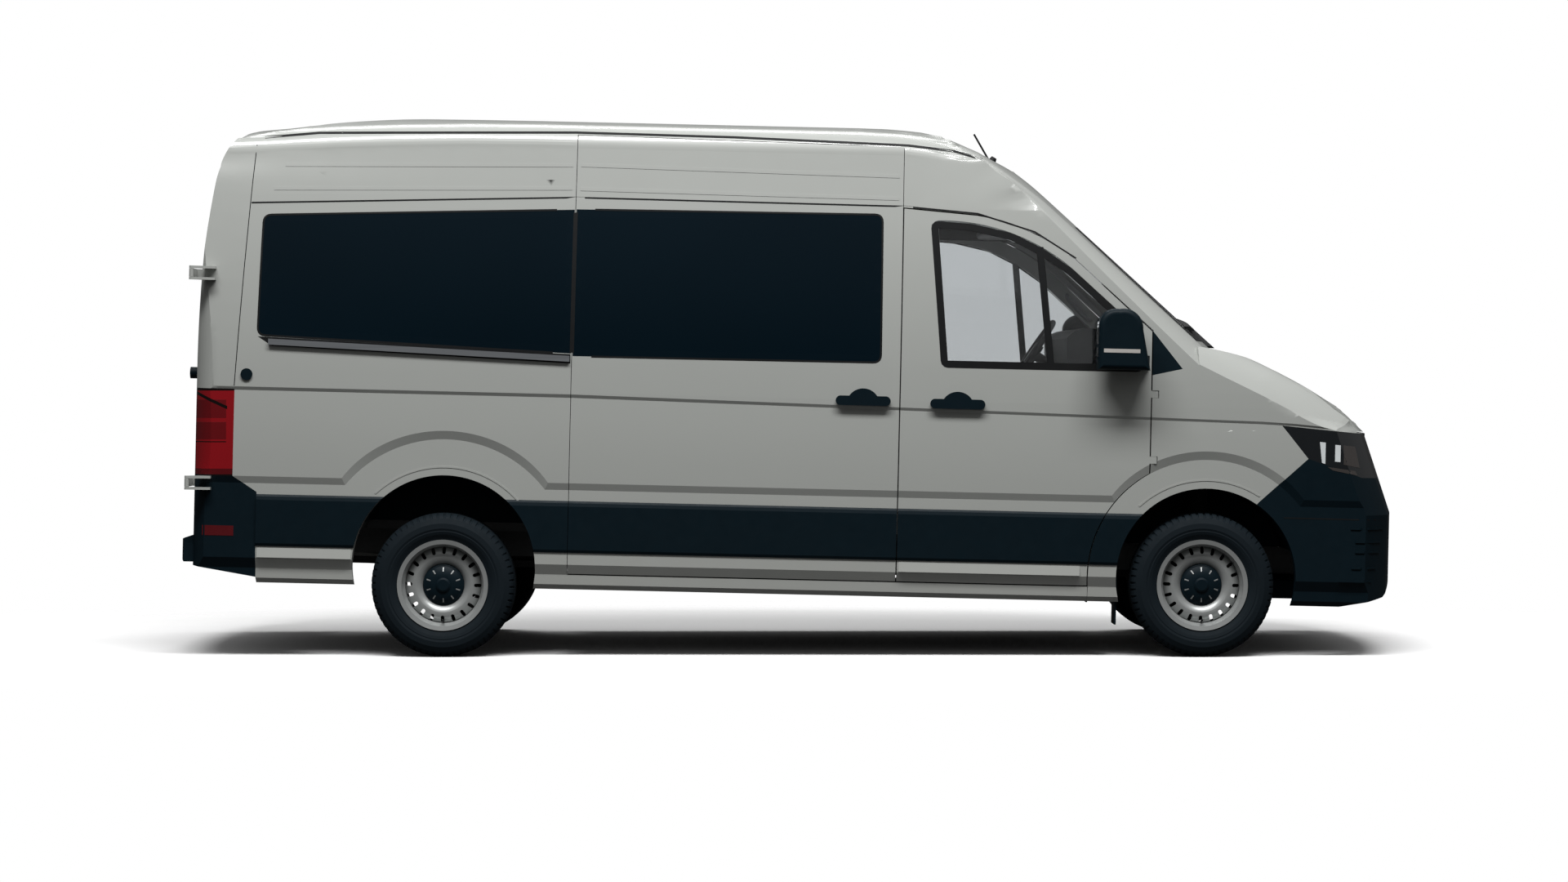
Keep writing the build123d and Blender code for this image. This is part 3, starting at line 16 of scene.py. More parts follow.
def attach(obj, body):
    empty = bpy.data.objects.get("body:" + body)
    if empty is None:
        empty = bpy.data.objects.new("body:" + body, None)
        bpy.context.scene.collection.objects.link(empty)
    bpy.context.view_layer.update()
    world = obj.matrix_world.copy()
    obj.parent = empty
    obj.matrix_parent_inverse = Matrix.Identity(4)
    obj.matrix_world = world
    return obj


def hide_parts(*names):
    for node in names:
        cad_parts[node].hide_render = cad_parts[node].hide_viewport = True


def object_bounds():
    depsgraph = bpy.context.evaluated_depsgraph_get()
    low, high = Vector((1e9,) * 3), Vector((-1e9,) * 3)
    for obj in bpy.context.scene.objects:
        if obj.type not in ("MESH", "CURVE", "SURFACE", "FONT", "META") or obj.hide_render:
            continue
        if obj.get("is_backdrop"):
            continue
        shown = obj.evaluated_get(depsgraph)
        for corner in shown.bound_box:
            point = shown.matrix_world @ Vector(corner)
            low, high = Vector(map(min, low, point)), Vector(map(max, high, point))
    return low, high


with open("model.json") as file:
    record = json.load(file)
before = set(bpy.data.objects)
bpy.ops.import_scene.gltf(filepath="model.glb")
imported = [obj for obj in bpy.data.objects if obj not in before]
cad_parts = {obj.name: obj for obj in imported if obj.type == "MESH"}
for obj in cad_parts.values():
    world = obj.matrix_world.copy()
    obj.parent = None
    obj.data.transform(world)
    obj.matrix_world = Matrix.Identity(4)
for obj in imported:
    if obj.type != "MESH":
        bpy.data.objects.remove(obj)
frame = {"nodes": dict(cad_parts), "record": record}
cad_low, cad_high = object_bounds()
NODES = frame["nodes"]

# %% [markdown]
# The van stands nose down by a little more than a degree. Its drawing is level and in millimetres,
# so one function turns a point of the drawing into a point of the standing van in metres. All the
# sizes below can then be read off a drawing, and nothing has to be turned by hand.

# %% From the level drawing to the standing van
RAKE = math.radians(1.3)
HUB_HEIGHT = 345.0
FRAME_SHIFT = -5.1
MM = 0.001
SAME_PLACE = 1e-6


def stand(x, y, z):
    """A point of the level drawing, in millimetres, as a point of the standing van in metres."""
    rise = z - HUB_HEIGHT
    along = x * math.cos(RAKE) + rise * math.sin(RAKE) + FRAME_SHIFT
    up = HUB_HEIGHT - x * math.sin(RAKE) + rise * math.cos(RAKE)
    return Vector((along * MM, y * MM, up * MM))


def link(name, mesh):
    """A new object with that mesh, in the scene."""
    obj = bpy.data.objects.new(name, mesh)
    bpy.context.scene.collection.objects.link(obj)
    return obj


def finish_piece(obj, finish, body, smooth=False):
    """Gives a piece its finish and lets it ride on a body."""
    mesh = obj.data
    mesh.materials.clear()
    mesh.materials.append(finish.material)
    bm = bmesh.new()
    bm.from_mesh(mesh)
    bmesh.ops.remove_doubles(bm, verts=bm.verts, dist=SAME_PLACE)
    bmesh.ops.recalc_face_normals(bm, faces=bm.faces)
    for face in bm.faces:
        face.smooth = smooth
        face.material_index = 0
    bm.to_mesh(mesh)
    bm.free()
    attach(obj, body)
    return obj


def solid(name, points, faces, finish, body, slot):
    """A piece from points in metres and faces."""
    mesh = bpy.data.meshes.new(name)
    mesh.from_pydata([tuple(p) for p in points], [], faces)
    return finish_piece(link(name, mesh), finish, body)


FRONT_AXLE = (1993, 0, 900)
print("a point over the front axle stands at", [round(v, 3) for v in stand(*FRONT_AXLE)])

# %% [markdown]
# The photograph is a side view taken with a long lens from about eighteen metres. The lens is level
# with the bottom of the windows, so the horizon lies above the middle of the picture: that is a
# vertical shift of the lens, not a tilt, and uprights stay upright.

# %% Camera
SENSOR_WIDTH = 36.0
LENS = 86.5
CAMERA_PLACE = (-0.016, -19.02, 1.404)
HORIZON_SHIFT = -94 / 1920
CLIP_FAR = 200
camera_data = bpy.data.cameras.new("camera")
camera_data.sensor_width = SENSOR_WIDTH
camera_data.lens = LENS
camera_data.shift_y = HORIZON_SHIFT
camera_data.clip_end = CLIP_FAR
camera = bpy.data.objects.new("camera", camera_data)
camera.location = CAMERA_PLACE
camera.rotation_euler = (math.radians(90), 0, 0)
bpy.context.scene.collection.objects.link(camera)
bpy.context.scene.camera = camera
print("camera", CAMERA_PLACE, "lens", LENS)

# %% [markdown]
# Shader maths reads better as arithmetic. This class wraps a number socket, and adding or
# multiplying two of them adds the Math node that does it. One method makes every other node.

# %% A finish and its signals


class Signal:
    """A number in a finish that adds, multiplies and compares like a plain number."""

    def __init__(self, finish, socket):
        self.finish = finish
        self.socket = socket

    def math(self, operation, first, second=0.0):
        return self.finish.math_of(operation, first, second)

    def __add__(self, other):
        return self.math("ADD", self, other)

    def __radd__(self, other):
        return self.math("ADD", other, self)

    def __sub__(self, other):
        return self.math("SUBTRACT", self, other)

    def __rsub__(self, other):
        return self.math("SUBTRACT", other, self)

    def __mul__(self, other):
        return self.math("MULTIPLY", self, other)

    def __gt__(self, other):
        return self.math("GREATER_THAN", self, other)

    def __lt__(self, other):
        return self.math("LESS_THAN", self, other)

    def abs(self):
        return self.math("ABSOLUTE", self)

    def between(self, low, high):
        return (self > low) * (self < high)


class Finish:
    """A material whose nodes are added one by one to its main shader."""

    def __init__(self, name, color, roughness, **sockets):
        self.material = bpy.data.materials.new(name)
        self.material.use_nodes = True
        self.tree = self.material.node_tree
        self.shader = self.tree.nodes["Principled BSDF"]
        self.set(**{"Base Color": (*color, 1.0), "Roughness": roughness, **sockets})

    def feed(self, socket, value):
        if isinstance(value, Signal):
            value = value.socket
        if isinstance(value, bpy.types.NodeSocket):
            self.tree.links.new(value, socket)
        else:
            socket.default_value = value

    def node(self, kind, settings=None, sockets=None):
        """A shader node of that kind with its settings, then its sockets, set."""
        made = self.tree.nodes.new("ShaderNode" + kind)
        for key, value in (settings or {}).items():
            if key == "stops":
                for stop, (place, color) in zip(made.color_ramp.elements, value):
                    stop.position = place
                    stop.color = (*color, 1.0)
            else:
                setattr(made, key, value)
        for key, value in (sockets or {}).items():
            self.feed(made.inputs[key], value)
        return made

    def set(self, **sockets):
        for key, value in sockets.items():
            self.feed(self.shader.inputs[key], value)

    def place(self):
        return self.node("TexCoord").outputs["Object"]

    def axes(self):
        split = self.node("SeparateXYZ", None, {0: self.place()})
        return [Signal(self, output) for output in split.outputs]

    def noise(self, scale, detail=3.0, stretch=(1, 1, 1)):
        place = self.node("Mapping", None, {"Vector": self.place(), "Scale": stretch}).outputs[0]
        made = self.node("TexNoise", None, {"Vector": place, "Scale": scale, "Detail": detail})
        return Signal(self, made.outputs[0])

    def mix(self, share, first, second):
        sockets = {0: share, 6: first, 7: second}
        return self.node("Mix", {"data_type": "RGBA"}, sockets).outputs[2]

    def math_of(self, operation, first, second=0.0):
        return Signal(self, self.node("Math", {"operation": operation}, {0: first, 1: second}).outputs[0])

    def bump(self, height, depth, strength=1.0):
        sockets = {"Height": height, "Distance": depth, "Strength": strength}
        self.set(Normal=self.node("Bump", None, sockets).outputs[0])


def rgba(color, gain=1.0):
    return (*(min(1.0, channel * gain) for channel in color), 1.0)


print("finish helpers ready")

# %% [markdown]
# The body is light warm grey gloss paint. Real paint isn't one flat colour: it has a faint
# orange-peel ripple, a little road dust low down, and a clear coat on top.

# %% Body paint
PAINT = (0.395, 0.408, 0.388)
DUST = (0.33, 0.32, 0.29)
paint = Finish("body_paint", PAINT, 0.34, **{"Coat Weight": 0.55, "Coat Roughness": 0.06})
height_of = paint.axes()[2]
dusty = (0.9 - height_of) * paint.noise(7.0, 5.0) * 0.55
tone = paint.mix(paint.noise(1.3) * 0.5, rgba(PAINT), rgba(PAINT, 0.96))
paint.set(**{"Base Color": paint.mix(dusty, tone, rgba(DUST)), "Roughness": 0.28 + paint.noise(9.0) * 0.12})
paint.bump(paint.noise(420.0, 1.0), 0.00004, 0.5)
print("body paint", PAINT)

# %% [markdown]
# The bumpers, cladding, mirrors and handles are moulded black plastic with a fine leather-like
# grain, slightly blue in daylight. Rubber seals are darker and smoother, and cab plastics greyer.

# %% Black plastics and rubber


def grained(name, color, roughness, grain, depth, shine=0.5):
    made = Finish(name, color, roughness, **{"Specular IOR Level": shine})
    made.set(**{"Base Color": made.mix(made.noise(14.0, 4.0) * 0.6, rgba(color), rgba(color, 1.5)),
                "Roughness": roughness - 0.08 + made.noise(30.0) * 0.16})
    made.bump(made.noise(grain, 2.0), depth, 0.6)
    return made


black_plastic = grained("black_plastic", (0.0022, 0.0076, 0.0115), 0.5, 900.0, 0.00012, 0.12)
gloss_black = grained("gloss_black", (0.004, 0.0048, 0.0055), 0.14, 260.0, 0.00002)
seal_rubber = grained("seal_rubber", (0.005, 0.0055, 0.006), 0.55, 500.0, 0.00006, 0.2)
cab_plastic = grained("cab_plastic", (0.022, 0.023, 0.025), 0.6, 700.0, 0.00015)
post_trim = grained("post_trim", (0.13, 0.14, 0.145), 0.55, 700.0, 0.0001)
floor_steel = grained("floor_steel", (0.055, 0.057, 0.058), 0.62, 60.0, 0.0003)
chassis_iron = grained("chassis_iron", (0.022, 0.022, 0.022), 0.75, 160.0, 0.0005, 0.25)
print("grained finishes ready")

# %% [markdown]
# Tyre rubber is charcoal, never pure black, and paler where it carries dust. The steel wheels have
# silver lacquer, with brake dust darkening it in patches.

# %% Tyres, wheels and bright metal
tyre_rubber = grained("tyre_rubber", (0.0042, 0.0082, 0.0115), 0.72, 320.0, 0.0002, 0.15)
SILVER = (0.40, 0.415, 0.41)
wheel_silver = Finish("wheel_silver", SILVER, 0.36, Metallic=0.45)
soot = wheel_silver.noise(18.0, 5.0) * 0.5
wheel_silver.set(**{"Base Color": wheel_silver.mix(soot, rgba(SILVER), rgba(SILVER, 0.72)),
                    "Roughness": 0.3 + wheel_silver.noise(60.0) * 0.14})
RAIL_GREY = (0.17, 0.18, 0.19)
rail_metal = Finish("rail_metal", RAIL_GREY, 0.3, Metallic=0.25)
drawn = rail_metal.noise(40.0, 3.0, (0.05, 1, 6))
rail_metal.set(**{"Base Color": rail_metal.mix(drawn, rgba(RAIL_GREY, 0.8), rgba(RAIL_GREY, 1.25)),
                  "Roughness": 0.22 + drawn * 0.24})
mirror_glass = Finish("mirror_glass", (0.86, 0.88, 0.88), 0.03, Metallic=1.0)
mirror_glass.set(Roughness=0.02 + mirror_glass.noise(6.0) * 0.02)
print("metals ready")

# %% [markdown]
# The windscreen and cab windows are clear, with the green-grey tint of laminated glass. The windows
# behind are privacy glass, so dark that only a trace of the inside shows.

# %% Glass
clear_glass = Finish("clear_glass", (0.67, 0.69, 0.70), 0.0, **{"Transmission Weight": 1.0, "IOR": 1.45})
clear_glass.set(Roughness=clear_glass.noise(2.0) * 0.02)
PRIVACY = (0.0012, 0.005, 0.0085)
dark_glass = Finish("dark_glass", PRIVACY, 0.05, **{"Specular IOR Level": 0.25})
fade = dark_glass.noise(0.9, 2.0) * 0.8
dark_glass.set(**{"Base Color": dark_glass.mix(fade, rgba(PRIVACY), rgba(PRIVACY, 1.9)),
                  "Alpha": 0.985 - dark_glass.noise(1.7) * 0.03,
                  "Roughness": 0.03 + dark_glass.noise(5.0) * 0.03})
print("glass finishes ready")

# %% [markdown]
# The tail lamp is one red moulding with panels behind its face: two with a prism pattern, one plain
# panel, a dark strip at the foot and a black slash near the top. They are drawn as bands on the
# lamp's own height, with the slash as a band round a slanted line.

# %% Lamp finishes
TAIL_RED = (0.25, 0.006, 0.010)
TAIL_DEEP = (0.085, 0.004, 0.006)
TAIL_BLACK = (0.006, 0.003, 0.003)
# In metres on the standing van: the seam behind the panels, the rows with a prism pattern, the slash's
# middle, slope and half width, the gap between panels, and the heights of head, strip and foot
TAIL_SEAM_X = -2.652
TAIL_INSET = 0.03
TAIL_PRISMS = [(1.147, 1.235), (1.045, 1.128)]
SLASH_X, SLASH_Z = -2.82, 1.262
SLASH_SLOPE = 0.46
SLASH_HALF = 0.008
SLASH_INSET = 0.025
TAIL_GAP = (1.031, 1.036)
TAIL_HEAD, TAIL_STRIP, TAIL_FOOT = 1.278, 0.905, 0.878
tail_red = Finish("tail_red", TAIL_RED, 0.12, **{"Coat Weight": 0.6})
tail_x, tail_y, tail_z = tail_red.axes()
prism = tail_red.noise(260.0, 1.0)
panel_width = tail_x < TAIL_SEAM_X - TAIL_INSET
upper, lower = (tail_z.between(*row) for row in TAIL_PRISMS)
prism_panels = (upper + lower) * panel_width
slash_line = tail_z - SLASH_Z + (tail_x - SLASH_X) * SLASH_SLOPE
slash = (slash_line.abs() < SLASH_HALF) * (tail_x < TAIL_SEAM_X - SLASH_INSET)
edges = (tail_z > TAIL_HEAD) + tail_z.between(*TAIL_GAP) * panel_width + (tail_z < TAIL_FOOT)
body_red = tail_red.mix(prism_panels * (0.55 + prism * 0.4), rgba(TAIL_RED), rgba(TAIL_DEEP))
body_red = tail_red.mix(tail_z < TAIL_STRIP, body_red, rgba(TAIL_DEEP))
tail_red.set(**{"Base Color": tail_red.mix(slash + edges, body_red, rgba(TAIL_BLACK)),
                "Roughness": 0.08 + prism * 0.14})
tail_red.bump(prism * prism_panels, 0.0006, 0.5)
lamp_cover = grained("lamp_cover", (0.010, 0.0115, 0.013), 0.1, 30.0, 0.00001)
lamp_cover.set(**{"Coat Weight": 0.8, "Coat Roughness": 0.02})
lamp_smoke = grained("lamp_smoke", (0.045, 0.04, 0.038), 0.2, 40.0, 0.00002)
lamp_bright = grained("lamp_bright", (0.62, 0.65, 0.66), 0.16, 120.0, 0.0003)
lamp_bright.set(**{"Coat Weight": 0.6})
reflector_red = grained("reflector_red", (0.075, 0.006, 0.008), 0.2, 700.0, 0.0005)
indicator_lens = grained("indicator_lens", (0.42, 0.40, 0.38), 0.2, 500.0, 0.0003)
plate_white = grained("plate_white", (0.62, 0.62, 0.6), 0.35, 300.0, 0.00004)
print("lamp finishes ready")

# %% [markdown]
# Seat cloth is a plain weave: two crossed sets of threads a millimetre or so apart. The waves lie
# along and across the seat, and each thread shades the colour as well as raising it.

# %% Seat cloth
CLOTH = (0.035, 0.037, 0.042)
THREADS = 420.0
seat_cloth = Finish("seat_cloth", CLOTH, 0.85, **{"Sheen Weight": 0.25})
weave = seat_cloth.node("TexWave", {"bands_direction": "X"}, {"Vector": seat_cloth.place(), "Scale": THREADS})
weft = seat_cloth.node("TexWave", {"bands_direction": "Y"}, {"Vector": seat_cloth.place(), "Scale": THREADS})
threads = Signal(seat_cloth, weave.outputs[1]) * 0.5 + Signal(seat_cloth, weft.outputs[1]) * 0.5
seat_cloth.set(**{"Base Color": seat_cloth.mix(threads, rgba(CLOTH, 0.7), rgba(CLOTH, 1.6))})
seat_cloth.bump(threads, 0.0004, 0.7)
print("seat cloth", CLOTH)

# %% [markdown]
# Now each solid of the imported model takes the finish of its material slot. The model names the
# slots, so one short table joins slot to finish, and a few single pieces are listed by name.

# %% Finishes for the solids
BY_SLOT = {
    "body_paint": paint, "clear_glass": clear_glass, "tinted_glass": dark_glass,
    "tyre_rubber": tyre_rubber, "wheel_steel": wheel_silver, "lamp_cover": lamp_cover,
    "tail_lamp_red": tail_red, "bright_rail": rail_metal, "seat_cloth": seat_cloth,
    "dark_interior": cab_plastic, "dark_steel": floor_steel, "chassis_iron": chassis_iron,
    "black_plastic": black_plastic,
}
BY_NODE = {"grille": gloss_black, "aerial": seal_rubber, "wipers": seal_rubber}
# Finish, body and slot that many pieces share
PAINT_ON_VAN = (paint, "van", "body_paint")
RUBBER_ON_VAN = (seal_rubber, "van", "black_plastic")
PLASTIC_ON_VAN = (black_plastic, "van", "black_plastic")
TRIM_ON_VAN = (cab_plastic, "van", "dark_interior")
for part in frame["record"]["subparts"]:
    node = NODES[part["node"]]
    chosen = BY_NODE.get(part["node"], BY_SLOT[part["material_slot"]])
    node.data.materials.clear()
    node.data.materials.append(chosen.material)

# %% [markdown]
# The solids are made of plain bends, and the real van goes a little further: its roof falls away to both
# sides towards the front and the rear, and bonnet and wings fall to the nose in one curve. Copies of those
# solids are cut finer, lowered by a smooth rule and relaxed, with every rim kept. They stand for the solids.

# %% Crowned roof and rounded nose
# Along the van, how far the roof's edge lies below the plain bend
EDGE_DROP = [(-2800, 72), (-2597, 61), (-2407, 46), (-2202, 31), (-1925, 16), (-1583, 4), (-1250, 0),
             (300, 0), (541, 8), (664, 24), (760, 37), (841, 44), (966, 42), (1128, 14), (1300, 0)]
EDGE_Y = 790.0
CROWN_SOFT = 0.2
DROP_Z = (2210.0, 2440.0)
# Longest edge of a cell
ROOF_CELL = 45.0
NOSE_CELL = 30.0
RELAX_STEP = 0.6
ROOF_PASSES = 40
BONNET_PASSES = 60
# Where the relaxing fades in, from nothing to all of it
ROOF_EASE_Z = (2150, 2240)
ROOF_EASE_FRONT = (420, 560)
ROOF_EASE_SCREEN = (1080, 1220)
ROOF_EASE_REAR = (2300, 2420)
BONNET_EASE = (2250, 2420)
WING_EASE_X = (2300, 2440)
WING_EASE_Z = (1215, 1250)
WING_PASSES = 30
# Behind the bonnet's front edge, how far its top comes down at its full height over the edge
NOSE_DROP = [(0, 66), (21, 62), (45, 51), (82, 42), (129, 32), (250, 10), (400, 0)]
NOSE_LOW = 1140.0
NOSE_HIGH = 1233.0
NOSE_SEEN = 1084.0
NOSE_HALF = 960
NOSE_STEP = 60
# Longer than any edge of the van
LONGEST = 6000.0
SAME_CORNER = 1e-5
SLIVER = 2e-4
RIM_ANGLE = math.radians(58)
SHARP_ANGLE = math.radians(30)
WING_SHARP = math.radians(4)
SHAPES = {name: node.data for name, node in NODES.items()}


def level(point):
    """A point of the standing van, in metres, as a point of the level drawing in millimetres."""
    along, up = point.x / MM - FRAME_SHIFT, point.z / MM - HUB_HEIGHT
    rise = along * math.sin(RAKE) + up * math.cos(RAKE)
    return along * math.cos(RAKE) - up * math.sin(RAKE), point.y / MM, rise + HUB_HEIGHT


def along_rows(rows, x):
    """The value at x of a table of places and values."""
    for (x0, v0), (x1, v1) in zip(rows, rows[1:]):
        if x <= x1:
            share = max(0.0, (x - x0) / (x1 - x0))
            return v0 + (v1 - v0) * share
    return rows[-1][1]


def eased(value, low, high):
    """Nought up to low, one from high on, and smooth between them."""
    share = min(1.0, max(0.0, (value - low) / (high - low)))
    return share * share * (3 - 2 * share)


def skin_of(*names):
    """The solids named, as one surface that rays can hit."""
    points, faces = [], []
    for name in names:
        mesh = SHAPES[name]
        first = len(points)
        points += [v.co.copy() for v in mesh.vertices]
        faces += [[first + i for i in face.vertices] for face in mesh.polygons]
    return BVHTree.FromPolygons(points, faces)


def roof_drop(x, y, z):
    """How far a point of the roof comes down: most at the roof's edge, nothing at its middle."""
    out = min(1.0, abs(y) / EDGE_Y)
    crown = (math.hypot(out, CROWN_SOFT) - CROWN_SOFT) / (math.hypot(1.0, CROWN_SOFT) - CROWN_SOFT)
    return along_rows(EDGE_DROP, x) * crown * eased(z, *DROP_Z)


def roof_ends(x, y, z):
    """The share of relaxing that a point of the roof takes."""
    front = eased(x, *ROOF_EASE_FRONT) * (1 - eased(x, *ROOF_EASE_SCREEN))
    return eased(z, *ROOF_EASE_Z) * max(front, eased(-x, *ROOF_EASE_REAR))


def bonnet_edge():
    """The front edge of bonnet and wings across the van, as rows of y and x, found by rays from ahead."""
    skin = skin_of("bonnet", "front_wings")
    ahead = Vector((LONGEST * MM, 0, 0))
    rows = []
    for y in range(-NOSE_HALF, NOSE_HALF + 1, NOSE_STEP):
        hit = skin.ray_cast(stand(0, y, NOSE_SEEN) + ahead, -ahead.normalized())[0]
        if hit is not None:
            rows.append((y, level(hit)[0]))
    return rows


BONNET_EDGE = bonnet_edge()
print("bonnet edge from the middle outwards", [round(x) for y, x in BONNET_EDGE if y >= 0])


def nose_drop(x, y, z):
    """How far a point of the bonnet or a wing comes down, so that the front falls in one curve."""
    back = max(0.0, along_rows(BONNET_EDGE, y) - x)
    share = min(1.0, max(0.0, (z - NOSE_LOW) / (NOSE_HIGH - NOSE_LOW)))
    return along_rows(NOSE_DROP, back) * share


def bonnet_front(x, y, z):
    """The share of relaxing that a point of the bonnet takes."""
    return eased(x, *BONNET_EASE)


def wing_front(x, y, z):
    """The share of relaxing that a point of a wing takes."""
    return eased(x, *WING_EASE_X) * eased(z, *WING_EASE_Z)


def reshaped(name, body, cell, lowered, relaxed, passes, sharp):
    """A painted copy of a solid, cut to cells of that size, lowered by a rule and relaxed where asked."""
    bm = bmesh.new()
    bm.from_mesh(NODES[name].data)
    bmesh.ops.remove_doubles(bm, verts=bm.verts, dist=SAME_CORNER)
    rounds = math.ceil(math.log2(LONGEST / cell))
    for _ in range(rounds):
        long_edges = [e for e in bm.edges if e.calc_length() > cell * MM]
        bmesh.ops.subdivide_edges(bm, edges=long_edges, cuts=1)
        bmesh.ops.triangulate(bm, faces=[f for f in bm.faces if len(f.verts) > 3])
    bmesh.ops.dissolve_degenerate(bm, dist=SLIVER, edges=bm.edges)
    bmesh.ops.triangulate(bm, faces=[f for f in bm.faces if len(f.verts) > 3])
    for vertex in bm.verts:
        vertex.co.z -= lowered(*level(vertex.co)) * MM
    rim = {v for e in bm.edges if e.calc_face_angle(math.pi) > RIM_ANGLE for v in e.verts}
    shares = {v: relaxed(*level(v.co)) for v in bm.verts if v not in rim} if relaxed else {}
    free = [v for v, share in shares.items() if share > 0]
    for _ in range(passes):
        bm.normal_update()
        steps = []
        for vertex in free:
            near = [edge.other_vert(vertex).co for edge in vertex.link_edges]
            pull = sum(near, Vector()) / len(near) - vertex.co
            steps.append(vertex.normal * pull.dot(vertex.normal) * RELAX_STEP * shares[vertex])
        for vertex, step in zip(free, steps):
            vertex.co += step
    for edge in bm.edges:
        limit = SHARP_ANGLE if any(shares.get(v, 0) > 0 for v in edge.verts) else sharp
        edge.smooth = edge.calc_face_angle(math.pi) < limit
    mesh = bpy.data.meshes.new(name + "_shape")
    bm.to_mesh(mesh)
    bm.free()
    obj = finish_piece(link(name + "_shape", mesh), paint, body, True)
    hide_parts(name)
    SHAPES[name] = mesh
    return len(mesh.polygons)


# Solid and body, cell, rule that lowers it, share relaxed, passes, and the angle that counts as an edge
RESHAPED = [
    ("roof", "van", ROOF_CELL, roof_drop, roof_ends, ROOF_PASSES, SHARP_ANGLE),
    ("rear_frame", "van", ROOF_CELL, roof_drop, None, 0, SHARP_ANGLE),
    ("rear_door_left", "rear_door_body_left", ROOF_CELL, roof_drop, None, 0, SHARP_ANGLE),
    ("rear_door_right", "rear_door_body_right", ROOF_CELL, roof_drop, None, 0, SHARP_ANGLE),
    ("bonnet", "bonnet_lid", NOSE_CELL, nose_drop, bonnet_front, BONNET_PASSES, SHARP_ANGLE),
    ("front_wings", "van", NOSE_CELL, nose_drop, wing_front, WING_PASSES, WING_SHARP),
]
faces_made = sum(reshaped(*row) for row in RESHAPED)
print("faces of the reshaped panels", faces_made)

# %% [markdown]
# Seals, seams and lamp fittings lie on the van's skin. Each is drawn flat, in side or end view, and
# dropped onto the solids by casting rays at them, so it follows every curve of the panel.

# %% Laying pieces on the skin
# Where rays start, in metres from the middle, and how deep a piece reaches into the panel
START = 4.0
SINK = 2.0


def on_skin(skin, place, toward):
    """Where a ray towards the van meets the skin, with the skin's outward direction there."""
    toward = Vector(toward)
    hit, normal, _, _ = skin.ray_cast(place - toward * START, toward)
    if hit is None:
        return None
    return hit, (normal if normal.dot(toward) < 0 else -normal)


def side_place(side):
    """Turns side-view millimetres into a ray's path from that side."""
    return (lambda u, v: stand(u, 0, v)), (0, -side, 0)


def end_place(end):
    """Turns end-view millimetres, y and z, into a ray's path from that end."""
    return (lambda u, v: stand(0, u, v)), (-end, 0, 0)


def smooth_path(path, spacing, closed):
    """The same path with a point at least every so many millimetres."""
    points = []
    ends = path + path[:1] if closed else path
    for (u0, v0), (u1, v1) in zip(ends, ends[1:]):
        steps = max(1, math.ceil(math.hypot(u1 - u0, v1 - v0) / spacing))
        points += [(u0 + (u1 - u0) * i / steps, v0 + (v1 - v0) * i / steps) for i in range(steps)]
    return points if closed else points + [path[-1]]


def bead(name, skin, view, path, width, proud, finish, body, slot, closed=False, spacing=45.0):
    """A flat bead of that width along a path on the skin."""
    place, toward = view
    path = smooth_path(path, spacing, closed)
    count = len(path)
    points, rows = [], []
    for i, (u, v) in enumerate(path):
        before = path[i - 1] if closed or i else path[i]
        after = path[(i + 1) % count] if closed or i < count - 1 else path[i]
        du, dv = after[0] - before[0], after[1] - before[1]
        length = math.hypot(du, dv) or 1.0
        nu, nv = -dv / length * width / 2, du / length * width / 2
        hits = [on_skin(skin, place(u + s * nu, v + s * nv), toward) for s in (1, -1)]
        if None in hits:
            continue
        (left, out_left), (right, out_right) = hits
        rows.append(len(points))
        points += [left - out_left * SINK * MM, left + out_left * proud * MM,
                   right + out_right * proud * MM, right - out_right * SINK * MM]
    pairs = list(zip(rows, rows[1:])) + ([(rows[-1], rows[0])] if closed else [])
    faces = [(a + k, a + (k + 1) % 4, b + (k + 1) % 4, b + k) for a, b in pairs for k in range(4)]
    if not closed:
        faces += [(rows[0], rows[0] + 1, rows[0] + 2, rows[0] + 3),
                  (rows[-1], rows[-1] + 3, rows[-1] + 2, rows[-1] + 1)]
    return solid(name, points, faces, finish, body, slot)


def patch(name, skin, view, corners, proud, finish, body, slot, cells=(10, 6)):
    """A thin plate on the skin between four corners. Its head and foot can stand out by different amounts."""
    place, toward = view
    head, foot = proud if isinstance(proud, tuple) else (proud, proud)
    columns, rows = cells
    a, b, c, d = corners
    points = []
    for outer in (True, False):
        for j in range(rows + 1):
            for i in range(columns + 1):
                s, t = i / columns, j / rows
                u = (a[0] * (1 - s) + b[0] * s) * (1 - t) + (d[0] * (1 - s) + c[0] * s) * t
                v = (a[1] * (1 - s) + b[1] * s) * (1 - t) + (d[1] * (1 - s) + c[1] * s) * t
                found = on_skin(skin, place(u, v), toward)
                if found is None:
                    return None
                rise = head * (1 - t) + foot * t if outer else -SINK
                points.append(found[0] + found[1] * rise * MM)
    wide = columns + 1
    layer = wide * (rows + 1)
    faces = []
    for j in range(rows):
        for i in range(columns):
            k = j * wide + i
            faces.append((k, k + 1, k + 1 + wide, k + wide))
            faces.append((layer + k, layer + k + wide, layer + k + 1 + wide, layer + k + 1))
    rim = list(range(wide)) + [j * wide + columns for j in range(1, rows + 1)]
    rim += [rows * wide + i for i in range(columns - 1, -1, -1)] + [j * wide for j in range(rows - 1, 0, -1)]
    faces += [(p, q, layer + q, layer + p) for p, q in zip(rim, rim[1:] + rim[:1])]
    return solid(name, points, faces, finish, body, slot)


def part_way(start, end, distance):
    """The point that far from start on the way to end."""
    share = distance / math.dist(start, end)
    return tuple(s + (e - s) * share for s, e in zip(start, end))


